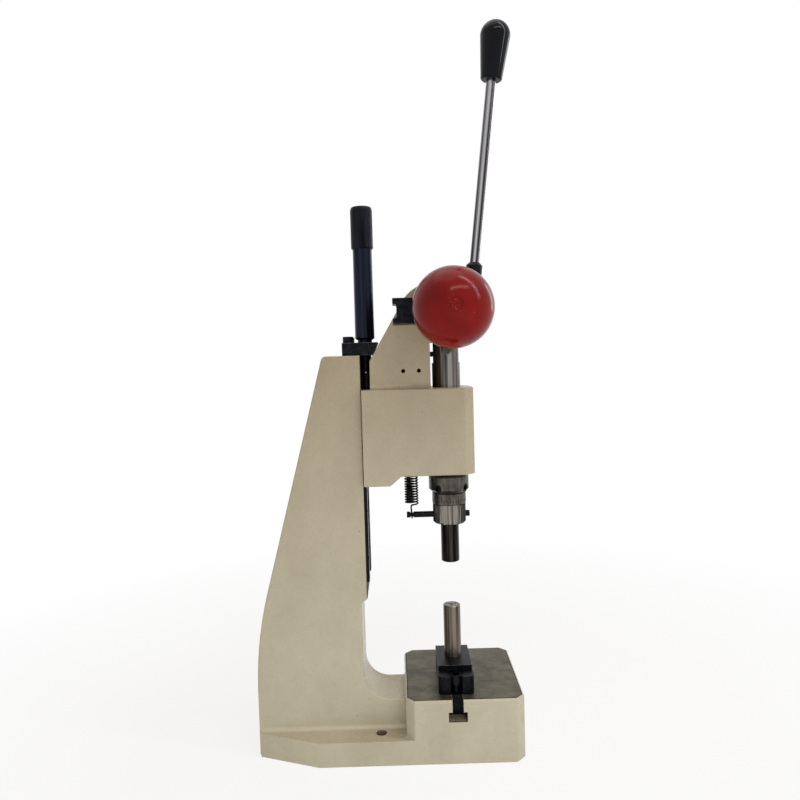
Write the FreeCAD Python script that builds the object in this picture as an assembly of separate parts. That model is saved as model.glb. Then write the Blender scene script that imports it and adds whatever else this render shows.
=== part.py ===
import FreeCAD, Part
import math
import os

# A bench press for setting eyelets, worked by a hand lever through a toggle.
# A cast frame carries a table with a tee slot, and a head that slides on dovetail ways.
# Millimetres. +X is the front, +Y the operator's right when facing the machine, +Z up.
# The origin lies on the bench, in the frame's middle plane, straight under the ram.

# Clearances and small values that several pieces share
cut_over = 1.0
running_clearance = 0.04
seat_clearance = 0.05
slide_gap = 0.06
body_gap = 0.3
edge_break = 0.6
hex_recess_share = 0.55

# Table block and foot of the casting
base_near_reach = 53.0
base_far_reach = 66.0
table_front_reach = 63.8
table_rear_reach = 49.2
table_height = 61.5
table_chamfer = 8.0
foot_height = 23.5
foot_rear_depth = 109.5
foot_rear_inset = 1.6
foot_rear_width = 62.0
foot_far_skew = 13.0
foot_taper_reach = 132.0
foot_fillet = 4.0
bench_hole_diameter = 10.5
bench_hole_reach = 73.0
bench_hole_spacing = 73.2

# Tee slot across the table
slot_neck_width = 10.0
slot_neck_depth = 12.0
slot_head_width = 17.2
slot_head_depth = 7.9

# Column of the casting
column_width = 54.0
column_rise = 33.0
column_top_depth = 36.5
column_crown_radius = 5.0
back_slope_foot_depth = 97.0
back_slope_drop = 227.5
pad_reach = 83.0
pad_length = 235.5
pad_foot_step = 3.5
throat_setback = 6.0
throat_floor_height = 52.0
throat_radius = 25.0
throat_top_radius = 6.0

# Dovetail ways: two steel rails screwed into a recess of the column
way_projection = 2.4
way_depth = 9.0
way_outer_width = 48.0
way_foot_rise = 16.0
way_top_drop = 2.0
dovetail_mouth_width = 22.0
dovetail_angle = 30.0
dovetail_play = 0.06
gib_thickness = 2.5
way_screw_thread = 3.0
way_screw_head = 5.5
way_screw_head_height = 3.0
way_screw_length = 13.0
way_screw_edge = 2.9
way_screw_count = 4
gib_screw_thread = 5.0
gib_screw_count = 3

# Head casting
head_width = 68.0
head_collar_gap = 3.0
head_height = 83.0
head_front_reach = 23.9
head_chamfer = 8.6
head_lug_drop = 9.0
head_lug_length = 25.4
head_lug_ramp = 10.6
tower_width = 50.0
tower_setback = 8.5
tower_shoulder_rise = 27.0
tower_front_reach = 16.5
crown_radius = 34.2
crown_reach = 12.0
crown_rise = 66.0
cheek_floor_rise = 44.0
cheek_gap = 26.0
shaft_boss_radius = 26.0
tower_fillet = 6.0
pin_hole_diameter = 4.0
pin_hole_depth = 12.0
pin_hole_rise = 17.0
pin_hole_reaches = (42.5, 27.5)

# Toggle: cross shaft, crank, link and ram
shaft_rise = 70.4
shaft_diameter = 16.0
shaft_bush_diameter = 22.0
crank_radius = 22.0
crank_rest_angle = 75.0
link_length = 34.9
crank_pin_diameter = 10.0
crank_web_width = 6.0
crank_hub_radius = 11.0
crank_eye_radius = 9.0
crank_key_width = 4.0
crank_key_height = 4.0
link_width = 12.0
link_side_gap = 0.3
link_waist_radius = 6.0
link_upper_radius = 9.0
link_lower_radius = 10.6
link_play = 1.75
wrist_pin_diameter = 10.0
wrist_recess_diameter = 12.0
wrist_recess_depth = 1.6

ram_diameter = 27.5
ram_top_rise = 55.0
ram_slot_room = 0.9
ram_bush_diameter = 34.0
ram_bush_length = 25.0
ram_spigot_diameter = 16.0
ram_spigot_rise = 4.2
ram_groove_width = 5.0
ram_groove_depth = 3.0
ram_groove_rise = 26.0
guide_screw_diameter = 5.0
guide_screw_rise = 32.5
guide_screw_length = 22.0
guide_tip_gap = 0.4

# Lever with its hub, rod and knob on the operator's right
lever_side_reach = 45.0
lever_lean = 6.5
lever_foot_reach = 29.5
socket_diameter = 17.0
socket_rise = 56.3
socket_length = 51.0
socket_chamfer = 3.0
hub_radius = 15.0
hub_thickness = 22.0
hub_arm_radius = 8.0
rod_diameter = 10.0
rod_bury = 28.0
knob_diameter = 31.0
knob_foot_diameter = 22.4
knob_length = 60.2
lever_reach = 245.0
knob_foot_radius = 2.4
knob_bore_share = 0.6
hub_screw_diameter = 6.0
shaft_end_margin = 3.0

# Stop block and ball on the operator's left
ball_diameter = 69.0
ball_stand_off = 43.0
ball_bore_share = 0.75
ball_stud_diameter = 12.0
ball_seat_diameter = 30.0
block_rear_reach = 51.0
block_front_reach = 17.0
block_height = 23.4
block_lift = 1.1
block_thickness = 24.0
block_inner_side = 38.0
block_flange = 5.3
block_waist = 3.6
block_collar_radius = 11.2

# Height spindle above the head
spindle_inset = 4.0
spindle_thread_diameter = 9.4
spindle_entry = 64.0
spindle_collar_diameter = 11.6
spindle_collar_rise = 17.0
spindle_journal_diameter = 8.0
spindle_groove_gap = 0.5
thrust_ring_diameter = 10.8
thrust_ring_thickness = 1.2
spindle_nut_diameter = 16.0
spindle_nut_length = 30.0
bracket_thickness = 12.4
bracket_front_gap = 2.3
bracket_width = 40.0
bracket_front_chamfer = 6.0
bracket_screw_offset = 16.0
bracket_screw_margin = 5.6
bracket_screw_spacing = 24.0
bracket_screw_thread = 6.0
bracket_screw_head = 10.0
bracket_screw_head_height = 6.0
bracket_screw_length = 26.0
handle_foot_gap = 3.0
handle_neck_diameter = 14.0
handle_diameter = 19.1
handle_top_diameter = 18.6
handle_length = 88.0
handle_chamfer = 1.6
grip_diameter = 21.5
grip_length = 40.8
grip_crown = 2.4
grip_core_diameter = 14.0

# Collar, dial, holder and punch on the ram's foot
collar_diameter = 39.6
collar_height = 18.4
collar_top_chamfer = 2.2
collar_foot_chamfer = 3.4
collar_screw_diameter = 8.0
collar_screw_rise = 5.4
collar_screw_first_angle = -37.0
collar_screw_count = 4
collar_screw_sink = 0.8
dial_diameter = 33.3
dial_height = 11.6
holder_diameter = 32.6
holder_height = 19.0
holder_foot_chamfer = 1.4
holder_flat_width = 19.0
holder_neck_diameter = 23.0
holder_neck_height = 5.0
holder_neck_play = 0.08
holder_travel = 1.0
pin_diameter = 6.0
pin_rise = 8.2
pin_rear_reach = 42.6
pin_front_reach = 20.0
pin_groove_width = 3.2
pin_groove_depth = 0.9
punch_diameter = 17.9
punch_length = 39.0
punch_shank_diameter = 12.0
punch_shank_play = 0.4
punch_bore_diameter = 3.0
punch_bore_depth = 9.0

# Return spring behind the ram
spring_reach = 37.4
spring_diameter = 14.0
spring_wire = 1.6
spring_pitch = 2.57
spring_turns = 24
spring_bore_diameter = 16.2
anchor_diameter = 5.0
anchor_near_reach = 16.0
hook_clearance = 0.35
hook_lead = 11.0
spring_least_gap = 0.4

# Die block, lower die and their fasteners
die_block_width = 33.0
die_block_height = 22.0
die_block_far_reach = 22.0
die_block_near_reach = 26.0
fork_height = 17.5
fork_near_reach = 42.0
fork_overhang = 0.6
fork_corner_radius = 5.5
fork_slot_width = 9.0
clamp_screw_reach = 34.0
clamp_screw_thread = 8.0
clamp_screw_head = 13.0
clamp_screw_head_height = 8.0
clamp_recess_diameter = 14.4
clamp_recess_depth = 8.6
die_diameter = 17.0
die_projection = 51.5
tool_daylight = 45.0
die_seat_depth = 18.0
die_bore_diameter = 3.0
die_bore_depth = 12.0
die_screw_diameter = 6.0
nut_length = 14.0
nut_neck_play = 0.25
nut_head_play = 0.3
nut_head_drop = 0.08

# What follows from the sizes above: heights are stacked from the table up
slot_floor_height = table_height - slot_neck_depth - slot_head_depth
die_block_top = table_height + die_block_height
die_top_height = die_block_top + die_projection
punch_foot_height = die_top_height + tool_daylight
holder_foot_height = punch_foot_height + punch_length
dial_foot_height = holder_foot_height + holder_height
ram_foot_height = dial_foot_height + dial_height
spigot_foot_height = holder_foot_height + ram_spigot_rise
collar_top_height = ram_foot_height + collar_height
collar_screw_height = ram_foot_height + collar_screw_rise
head_floor_height = collar_top_height + head_collar_gap
head_top_height = head_floor_height + head_height
tower_shoulder_height = head_top_height + tower_shoulder_rise
cheek_floor_height = head_top_height + cheek_floor_rise
crown_height = head_top_height + crown_rise
pin_hole_height = head_top_height + pin_hole_rise
ram_groove_foot_height = head_top_height + ram_groove_rise
guide_screw_height = head_top_height + guide_screw_rise
ram_top_height = head_top_height + ram_top_rise
column_height = head_top_height + column_rise
back_slope_foot_height = column_height - back_slope_drop
pad_foot_height = column_height - pad_length
way_foot_height = pad_foot_height + way_foot_rise
way_top_height = head_top_height - way_top_drop
foot_rear_reach = pad_reach + foot_rear_depth
column_top_rear_reach = pad_reach + column_top_depth
back_slope_foot_reach = pad_reach + back_slope_foot_depth
throat_reach = pad_reach + throat_setback
tower_rear_reach = pad_reach - tower_setback
way_face = -(pad_reach - way_projection)
way_back = way_face - way_depth
head_rear = way_face + slide_gap
spindle_reach = pad_reach - spindle_inset
bracket_screw_reach = spindle_reach + bracket_screw_offset
bracket_rear_reach = bracket_screw_reach + bracket_screw_margin
spindle_foot_height = head_top_height - spindle_entry
spindle_collar_foot_height = head_top_height + spindle_collar_rise
bracket_top_height = column_height + bracket_thickness
handle_foot_height = bracket_top_height + handle_foot_gap
handle_top_height = handle_foot_height + handle_length
grip_top_height = handle_top_height + grip_length
shaft_height = head_top_height + shaft_rise
crank_pin_x = crank_radius * math.sin(math.radians(crank_rest_angle))
crank_pin_z = shaft_height - crank_radius * math.cos(math.radians(crank_rest_angle))
wrist_height = crank_pin_z - math.sqrt(link_length ** 2 - crank_pin_x ** 2)
ram_slot_floor_height = wrist_height - link_lower_radius - link_play - ram_slot_room
socket_top_height = shaft_height + socket_rise
socket_foot_height = socket_top_height - socket_length
knob_top_height = socket_top_height + lever_reach
ball_side_reach = block_inner_side + block_thickness + ball_stand_off
lever_side = (math.sin(math.radians(lever_lean)), math.cos(math.radians(lever_lean)))
pin_height = holder_foot_height + pin_rise
spring_foot_height = pin_height + hook_lead

AXIS_X = FreeCAD.Vector(1, 0, 0)
AXIS_Y = FreeCAD.Vector(0, 1, 0)
AXIS_Z = FreeCAD.Vector(0, 0, 1)


def vec(x, y, z):
    return FreeCAD.Vector(x, y, z)


def block(x0, x1, y0, y1, z0, z1):
    return Part.makeBox(x1 - x0, y1 - y0, z1 - z0, vec(x0, y0, z0))


def bar(diameter, start, end):
    way = end - start
    return Part.makeCylinder(diameter / 2, way.Length, start, way)


def side_place(u, v):
    return vec(u, 0, v)


def plan_place(u, v):
    return vec(u, v, 0)


def rounded_face(points, radii, place):
    # A closed outline whose corners may be rounded, one radius for each corner.
    ends = []
    count = len(points)
    for i in range(count):
        here = place(*points[i])
        back = (place(*points[i - 1]) - here).normalize()
        on = (place(*points[(i + 1) % count]) - here).normalize()
        radius = radii.get(i, 0)
        if radius:
            half = back.getAngle(on) / 2
            reach = radius / math.tan(half)
            middle = here + (back + on).normalize() * (radius / math.sin(half) - radius)
            ends.append((here + back * reach, middle, here + on * reach))
        else:
            ends.append((here, None, here))
    edges = []
    for i in range(count):
        first, middle, last = ends[i]
        if middle:
            edges.append(Part.Arc(first, middle, last).toShape())
        edges.append(Part.LineSegment(last, ends[(i + 1) % count][0]).toShape())
    return Part.Face(Part.Wire(edges))


def side_prism(points, y0, y1, radii={}):
    face = rounded_face(points, radii, side_place)
    face.translate(vec(0, y0, 0))
    return face.extrude(vec(0, y1 - y0, 0))


def plan_prism(points, z0, z1, radii={}):
    face = rounded_face(points, radii, plan_place)
    face.translate(vec(0, 0, z0))
    return face.extrude(vec(0, 0, z1 - z0))


def turned(points, foot, axis):
    # Points are (radius, height along the axis), from the axis out and back to it.
    corners = [vec(r, 0, h) for r, h in points]
    face = Part.Face(Part.makePolygon(corners + corners[:1]))
    solid = face.revolve(vec(0, 0, 0), AXIS_Z, 360)
    solid.Placement = FreeCAD.Placement(foot, FreeCAD.Rotation(AXIS_Z, axis))
    return solid


def strap(x0, z0, r0, x1, z1, r1, y0, y1):
    # A flat bar with two round ends, seen from the side.
    run = math.hypot(x1 - x0, z1 - z0)
    heading = math.atan2(z1 - z0, x1 - x0)
    tilt = math.acos((r0 - r1) / run)
    corners = []
    for x, z, r, turn in ((x0, z0, r0, tilt), (x1, z1, r1, tilt), (x1, z1, r1, -tilt),
                          (x0, z0, r0, -tilt)):
        corners.append((x + r * math.cos(heading + turn), z + r * math.sin(heading + turn)))
    body = side_prism(corners, y0, y1)
    for x, z, r in ((x0, z0, r0), (x1, z1, r1)):
        body = body.fuse(bar(2 * r, vec(x, y0, z), vec(x, y1, z)))
    return body.removeSplitter()


def joined(shapes):
    whole = shapes[0]
    for shape in shapes[1:]:
        whole = whole.fuse(shape)
    return whole.removeSplitter()


def without(shape, cutters):
    for cutter in cutters:
        shape = shape.cut(cutter)
    return shape


def cap_screw(thread, head, head_height, length, seat, axis):
    # A socket cap screw. The seat is where its head rests, and the axis points out of the head.
    shank = bar(thread, seat - axis * length, seat)
    top = bar(head, seat, seat + axis * head_height)
    recess = hex_recess(head * hex_recess_share, head_height * hex_recess_share,
                        seat + axis * head_height, axis)
    return joined([shank, top]).cut(recess)


def set_screw(thread, length, mouth, axis):
    # A socket set screw whose outer end lies at the mouth.
    recess = hex_recess(thread * hex_recess_share, length / 3, mouth, axis)
    return bar(thread, mouth - axis * length, mouth).cut(recess)


def hex_recess(across, depth, mouth, axis):
    corner = across / math.sqrt(3)
    points = []
    for i in range(6):
        points.append(vec(corner * math.cos(i * math.pi / 3), corner * math.sin(i * math.pi / 3), 0))
    prism = Part.Face(Part.makePolygon(points + points[:1])).extrude(vec(0, 0, depth + cut_over))
    prism.Placement = FreeCAD.Placement(mouth - axis * depth, FreeCAD.Rotation(AXIS_Z, axis))
    return prism


def quarter_fillet(radius, x0, x1, y, z, side):
    # The rounded inner corner along X between a wall at y and a floor at z.
    edges = [
        Part.LineSegment(vec(x0, y, z), vec(x0, y + side * radius, z)).toShape(),
        Part.Arc(
            vec(x0, y + side * radius, z),
            vec(x0, y + side * radius * (1 - math.sqrt(0.5)), z + radius * (1 - math.sqrt(0.5))),
            vec(x0, y, z + radius),
        ).toShape(),
        Part.LineSegment(vec(x0, y, z + radius), vec(x0, y, z)).toShape(),
    ]
    return Part.Face(Part.Wire(edges)).extrude(vec(x1 - x0, 0, 0))


def way_screw_places():
    step = (way_top_height - way_foot_height) / way_screw_count
    return [way_foot_height + step * (i + 0.5) for i in range(way_screw_count)]


def gib_screw_places():
    step = (way_top_height - way_foot_height) / gib_screw_count
    return [way_foot_height + step * (i + 0.5) for i in range(gib_screw_count)]


def gib_screw_bar(diameter):
    x = way_back + gib_screw_thread / 2 + seat_clearance
    inner = dovetail_mouth_width / 2 + (way_face - x) * math.tan(math.radians(dovetail_angle))
    inner = inner + gib_thickness / math.cos(math.radians(dovetail_angle))
    bars = []
    for z in gib_screw_places():
        bars.append((vec(x, inner + diameter / 2, z), vec(x, column_width / 2, z)))
    return bars


# The one-piece casting: foot, column, web and table

def column_profile():
    # Side outline of the column with its slanted back, which curves into an upright foot.
    top = vec(-column_top_rear_reach, 0, column_height)
    bend = vec(-back_slope_foot_reach, 0, back_slope_foot_height)
    slope = (bend - top).normalize()
    corner = bend + slope * ((foot_rear_reach - back_slope_foot_reach) / -slope.x)
    reach = (corner - bend).Length
    foot = vec(-foot_rear_reach, 0, corner.z - reach)
    radius = reach * math.tan((bend - corner).getAngle(foot - corner) / 2)
    inward = ((bend - corner).normalize() + (foot - corner).normalize()).normalize()
    middle = corner + inward * (math.hypot(radius, reach) - radius)
    return top, bend, middle, foot


def column_solid():
    top, bend, middle, foot = column_profile()
    front = -pad_reach
    floor = throat_floor_height
    half = column_width / 2
    back = Part.Wire([
        Part.LineSegment(vec(front, 0, column_height), top).toShape(),
        Part.LineSegment(top, bend).toShape(),
        Part.Arc(bend, middle, foot).toShape(),
        Part.LineSegment(foot, vec(-foot_rear_reach, 0, 0)).toShape(),
        Part.LineSegment(vec(-foot_rear_reach, 0, 0), vec(front, 0, 0)).toShape(),
        Part.LineSegment(vec(front, 0, 0), vec(front, 0, column_height)).toShape(),
    ])
    solid = Part.Face(back).extrude(vec(0, column_width, 0))
    solid.translate(vec(0, -half, 0))
    crest = [e for e in solid.Edges if abs(e.CenterOfMass.z - column_height) < seat_clearance
             and abs(e.CenterOfMass.x + column_top_rear_reach) < seat_clearance]
    solid = solid.makeFillet(column_crown_radius, crest)
    web = side_prism([(front, 0), (-table_rear_reach + cut_over, 0),
                      (-table_rear_reach + cut_over, floor),
                      (front, floor)], -half, half)
    corner_fill = side_prism([(front, floor), (front + throat_radius, floor),
                              (front, floor + throat_radius)],
                             -half, half)
    solid = joined([solid, web, corner_fill])
    throat = [(-throat_reach, floor), (0, floor), (0, pad_foot_height), (-pad_reach, pad_foot_height),
              (-throat_reach, pad_foot_height - pad_foot_step)]
    hollow = side_prism(throat, -half - cut_over, half + cut_over,
                        {0: throat_radius, 4: throat_top_radius})
    return solid.cut(hollow)


def table_solid():
    front = table_front_reach
    rear = -table_rear_reach
    near = -base_near_reach
    far = base_far_reach
    c = table_chamfer
    points = [(rear + c, near), (front - c, near), (front, near + c), (front, far - c), (front - c, far),
              (rear + c, far), (rear, far - c), (rear, near + c)]
    return plan_prism(points, 0, table_height)


def foot_solid():
    inside = -table_rear_reach + table_chamfer
    rear = -foot_rear_reach + foot_rear_inset
    near = -base_near_reach
    far = base_far_reach
    points = [(inside, near), (inside, far), (-foot_taper_reach, far),
              (rear, foot_rear_width / 2 + foot_far_skew),
              (rear, -foot_rear_width / 2), (-foot_taper_reach, near)]
    return plan_prism(points, 0, foot_height)


def tee_slot():
    near = -base_near_reach - cut_over
    far = base_far_reach + cut_over
    neck = block(-slot_neck_width / 2, slot_neck_width / 2, near, far, slot_floor_height,
                 table_height + cut_over)
    head = block(-slot_head_width / 2, slot_head_width / 2, near, far, slot_floor_height,
                 slot_floor_height + slot_head_depth)
    return neck.fuse(head)


def base_casting():
    body = joined([foot_solid(), column_solid(), table_solid()])
    for side in (-1, 1):
        body = body.fuse(quarter_fillet(foot_fillet, -foot_rear_reach + foot_rear_inset,
                                        -table_rear_reach,
                                        side * column_width / 2, foot_height, side))
    cuts = [tee_slot()]
    for side in (-1, 1):
        y = side * bench_hole_spacing / 2
        cuts.append(bar(bench_hole_diameter, vec(-bench_hole_reach, y, -cut_over),
                        vec(-bench_hole_reach, y, foot_height + cut_over)))
    half = way_outer_width / 2
    cuts.append(block(way_back, way_face + cut_over, -half, half, way_foot_height,
                      column_height + cut_over))
    hole = way_screw_thread + seat_clearance
    for side in (-1, 1):
        y = side * (half - way_screw_edge)
        for z in way_screw_places():
            end = way_face - way_screw_head_height - way_screw_length
            cuts.append(bar(hole, vec(end, y, z), vec(way_back + cut_over, y, z)))
    for start, end in gib_screw_bar(gib_screw_thread):
        cuts.append(bar(gib_screw_thread + seat_clearance, start, end + AXIS_Y * cut_over))
    for side in (-1, 1):
        y = side * bracket_screw_spacing / 2
        foot = bracket_top_height - bracket_screw_length
        cuts.append(bar(bracket_screw_thread + seat_clearance, vec(-bracket_screw_reach, y, foot),
                        vec(-bracket_screw_reach, y, column_height + cut_over)))
    return without(body.removeSplitter(), cuts)


# The two dovetail rails, their screws and the gib

def rail_section(mouth, side):
    half = way_outer_width / 2
    deep = mouth + way_depth * math.tan(math.radians(dovetail_angle))
    return [(way_face, side * mouth), (way_face, side * half), (way_back, side * half),
            (way_back, side * deep)]


def way_rail(side, mouth):
    rail = plan_prism(rail_section(mouth, side), way_foot_height, way_top_height)
    y = side * (way_outer_width / 2 - way_screw_edge)
    for z in way_screw_places():
        seat = way_face - way_screw_head_height
        rail = rail.cut(bar(way_screw_head + seat_clearance, vec(seat, y, z),
                            vec(way_face + cut_over, y, z)))
        rail = rail.cut(bar(way_screw_thread + seat_clearance, vec(way_back - cut_over, y, z),
                            vec(seat, y, z)))
    return rail


def way_rail_far():
    mouth = dovetail_mouth_width / 2 + gib_thickness / math.cos(math.radians(dovetail_angle))
    rail = way_rail(1, mouth)
    for start, end in gib_screw_bar(gib_screw_thread):
        rail = rail.cut(bar(gib_screw_thread + seat_clearance, start - AXIS_Y * gib_screw_thread, end))
    return rail


def way_screws():
    screws = []
    for side in (-1, 1):
        y = side * (way_outer_width / 2 - way_screw_edge)
        for z in way_screw_places():
            seat = vec(way_face - way_screw_head_height, y, z)
            head_height = way_screw_head_height - seat_clearance
            screws.append(cap_screw(way_screw_thread, way_screw_head, head_height, way_screw_length,
                                    seat, AXIS_X))
    return screws


def gib_strip():
    # A slim strip between the head's tongue and the far rail, pressed by set screws.
    inner = dovetail_mouth_width / 2 + dovetail_play
    thick = gib_thickness / math.cos(math.radians(dovetail_angle)) - dovetail_play
    inset = way_depth * seat_clearance
    rise = (way_depth - 2 * inset) * math.tan(math.radians(dovetail_angle))
    near = inner + inset * math.tan(math.radians(dovetail_angle))
    points = [(way_face - inset, near), (way_face - inset, near + thick),
              (way_back + inset, near + rise + thick), (way_back + inset, near + rise)]
    return plan_prism(points, way_foot_height, way_top_height)


def gib_screws():
    screws = []
    for start, end in gib_screw_bar(gib_screw_thread):
        mouth = end - AXIS_Y * edge_break
        screws.append(set_screw(gib_screw_thread, (mouth - start).Length, mouth, AXIS_Y))
    return screws


# Bracket on top of the column and the height spindle with its handle

def tower_slope():
    # The head's tower slopes up behind the bracket: the slope's foot, heading and length.
    foot = vec(-tower_rear_reach, 0, tower_shoulder_height)
    away = vec(-crown_reach, 0, crown_height) - foot
    heading = math.atan2(away.z, away.x) + math.asin(crown_radius / away.Length)
    return foot, heading, math.sqrt(away.Length ** 2 - crown_radius ** 2)


def spindle_bracket():
    half = bracket_width / 2
    z0 = column_height
    z1 = bracket_top_height
    foot, heading, _ = tower_slope()
    front = foot.x + (z1 - foot.z) / math.tan(heading) - bracket_front_gap
    plate = side_prism([(-bracket_rear_reach, z0), (front - bracket_front_chamfer, z0), (front, z1),
                        (-bracket_rear_reach, z1)], -half, half)
    cuts = [bar(spindle_journal_diameter + 2 * running_clearance, vec(-spindle_reach, 0, z0 - cut_over),
                vec(-spindle_reach, 0, z1 + cut_over))]
    for side in (-1, 1):
        y = side * bracket_screw_spacing / 2
        cuts.append(bar(bracket_screw_thread + seat_clearance,
                        vec(-bracket_screw_reach, y, z0 - cut_over),
                        vec(-bracket_screw_reach, y, z1 + cut_over)))
    return without(plate, cuts)


def bracket_screws():
    screws = []
    for side in (-1, 1):
        seat = vec(-bracket_screw_reach, side * bracket_screw_spacing / 2, bracket_top_height)
        length = bracket_screw_length - edge_break
        screws.append(cap_screw(bracket_screw_thread, bracket_screw_head, bracket_screw_head_height,
                                length,
                                seat, AXIS_Z))
    return screws


def height_spindle():
    foot = vec(-spindle_reach, 0, 0)
    thread = spindle_thread_diameter / 2
    collar = spindle_collar_diameter / 2
    journal = spindle_journal_diameter / 2
    top = handle_top_height
    ring_top = spindle_collar_foot_height
    stop = column_height - slide_gap
    points = [(0, spindle_foot_height), (thread - edge_break, spindle_foot_height),
              (thread, spindle_foot_height + edge_break), (thread, ring_top), (collar, ring_top),
              (collar, stop), (journal, stop), (journal, top), (0, top)]
    return turned(points, foot, AXIS_Z)


def thrust_ring():
    z1 = spindle_collar_foot_height
    z0 = z1 - thrust_ring_thickness
    outer = bar(thrust_ring_diameter, vec(-spindle_reach, 0, z0), vec(-spindle_reach, 0, z1))
    inner = bar(spindle_thread_diameter, vec(-spindle_reach, 0, z0 - cut_over),
                vec(-spindle_reach, 0, z1))
    return outer.cut(inner)


def spindle_handle():
    z0 = bracket_top_height + slide_gap
    z1 = handle_foot_height
    z2 = handle_top_height
    neck = handle_neck_diameter / 2
    foot = handle_diameter / 2
    top = handle_top_diameter / 2
    core = grip_core_diameter / 2
    crown = grip_top_height - grip_crown - grip_core_diameter / 2
    points = [(0, z0), (neck, z0), (neck, z1), (foot - handle_chamfer, z1), (foot, z1 + handle_chamfer),
              (top, z2), (core, z2), (core, crown), (0, crown)]
    solid = turned(points, vec(-spindle_reach, 0, 0), AXIS_Z)
    return solid.cut(bar(spindle_journal_diameter, vec(-spindle_reach, 0, z0 - cut_over),
                         vec(-spindle_reach, 0, handle_top_height)))


def handle_grip():
    z0 = handle_top_height
    z1 = grip_top_height
    outer = grip_diameter / 2
    core = grip_core_diameter / 2
    crown = grip_top_height - grip_crown - grip_core_diameter / 2
    points = [(core, z0), (outer - edge_break, z0), (outer, z0 + edge_break), (outer, z1 - grip_crown),
              (outer - edge_break, z1 - edge_break), (outer - grip_crown, z1), (0, z1), (0, crown),
              (core, crown)]
    return turned(points, vec(-spindle_reach, 0, 0), AXIS_Z)


# Head casting with its bushes and small fittings

def tower_solid():
    # A tapered tower whose back runs up to a round crown, with two cheeks over the ram.
    half = tower_width / 2
    foot, heading, reach = tower_slope()
    touch = (foot.x + reach * math.cos(heading), foot.z + reach * math.sin(heading))
    points = [(-tower_rear_reach, head_top_height - head_chamfer),
              (-tower_rear_reach, tower_shoulder_height),
              touch, (-crown_reach, crown_height), (-tower_front_reach, crown_height),
              (-tower_front_reach, head_top_height - head_chamfer)]
    body = side_prism(points, -half, half)
    crown = bar(2 * crown_radius, vec(-crown_reach, -half, crown_height),
                vec(-crown_reach, half, crown_height))
    boss = bar(2 * shaft_boss_radius, vec(0, -half, shaft_height), vec(0, half, shaft_height))
    body = joined([body, crown, boss])
    front = shaft_boss_radius + crown_radius
    under = block(-tower_front_reach, front, -half - cut_over, half + cut_over,
                  head_top_height - head_chamfer, cheek_floor_height)
    between = block(-tower_front_reach, front, -cheek_gap / 2, cheek_gap / 2,
                    cheek_floor_height - cut_over, crown_height + crown_radius + cut_over)
    return without(body, [under, between])


def head_block():
    half = head_width / 2
    front = head_front_reach
    c = head_chamfer
    points = [(head_rear, -half), (front - c, -half), (front, -half + c), (front, half - c),
              (front - c, half),
              (head_rear, half)]
    body = plan_prism(points, head_floor_height, head_top_height)
    low = head_floor_height - head_lug_drop
    lug_end = -pad_reach + head_lug_length
    lug = side_prism([(head_rear, low), (lug_end, low), (lug_end + head_lug_ramp, head_floor_height),
                      (head_rear, head_floor_height)], -half, half)
    return body.fuse(lug)


def head_tongue():
    # The dovetail tongue on the head's back, and the two lips that lap the rails' sides.
    low = head_floor_height - head_lug_drop
    mouth = dovetail_mouth_width / 2 - dovetail_play
    tip = way_back + slide_gap * 2
    deep = mouth + (way_face - tip) * math.tan(math.radians(dovetail_angle))
    tongue = plan_prism([(head_rear, -mouth), (way_face, -mouth), (tip, -deep), (tip, deep),
                         (way_face, mouth),
                         (head_rear, mouth)], low, head_top_height)
    lips = []
    for side in (-1, 1):
        inner = way_outer_width / 2 + body_gap
        outer = head_width / 2
        y0, y1 = sorted((side * inner, side * outer))
        lips.append(block(-pad_reach + body_gap, head_rear, y0, y1, low, head_top_height))
    return [tongue] + lips


def spring_bore():
    return bar(spring_bore_diameter, vec(-spring_reach, 0, head_floor_height - head_lug_drop - cut_over),
               vec(-spring_reach, 0, anchor_height() + spring_bore_diameter / 2))


def anchor_height():
    return spring_foot_height + (spring_turns + 1 / 4) * spring_pitch + hook_lead


def head_casting():
    body = joined([head_block()] + head_tongue() + [tower_solid()])
    for side in (-1, 1):
        body = body.fuse(quarter_fillet(tower_fillet, -tower_rear_reach, -tower_front_reach,
                                        side * tower_width / 2, head_top_height, side))
    top = crown_height + crown_radius
    cuts = [
        bar(ram_bush_diameter, vec(0, 0, head_floor_height - cut_over), vec(0, 0, head_top_height)),
        bar(ram_diameter + 2 * body_gap, vec(0, 0, head_top_height - cut_over), vec(0, 0, top)),
        spring_bore(),
        bar(spindle_thread_diameter + 2 * body_gap,
            vec(-spindle_reach, 0, head_floor_height - head_lug_drop - cut_over),
            vec(-spindle_reach, 0, head_top_height)),
        bar(spindle_nut_diameter, vec(-spindle_reach, 0, head_top_height - spindle_nut_length),
            vec(-spindle_reach, 0, head_top_height + cut_over)),
        bar(shaft_bush_diameter, vec(0, -tower_width, shaft_height), vec(0, tower_width, shaft_height)),
        bar(anchor_diameter, vec(-spring_reach, -anchor_near_reach, anchor_height()),
            vec(-spring_reach, head_width, anchor_height())),
        bar(spindle_collar_diameter + 2 * spindle_groove_gap, vec(-spindle_reach, 0, head_top_height),
            vec(-spindle_reach, 0, top)),
        bar(guide_screw_diameter + seat_clearance,
            vec(-tower_front_reach - guide_screw_length, 0, guide_screw_height),
            vec(-tower_front_reach + cut_over, 0, guide_screw_height)),
    ]
    for reach in pin_hole_reaches:
        cuts.append(bar(pin_hole_diameter, vec(-reach, -tower_width / 2 - cut_over, pin_hole_height),
                        vec(-reach, -tower_width / 2 + pin_hole_depth, pin_hole_height)))
    return without(body.removeSplitter(), cuts)


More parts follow.
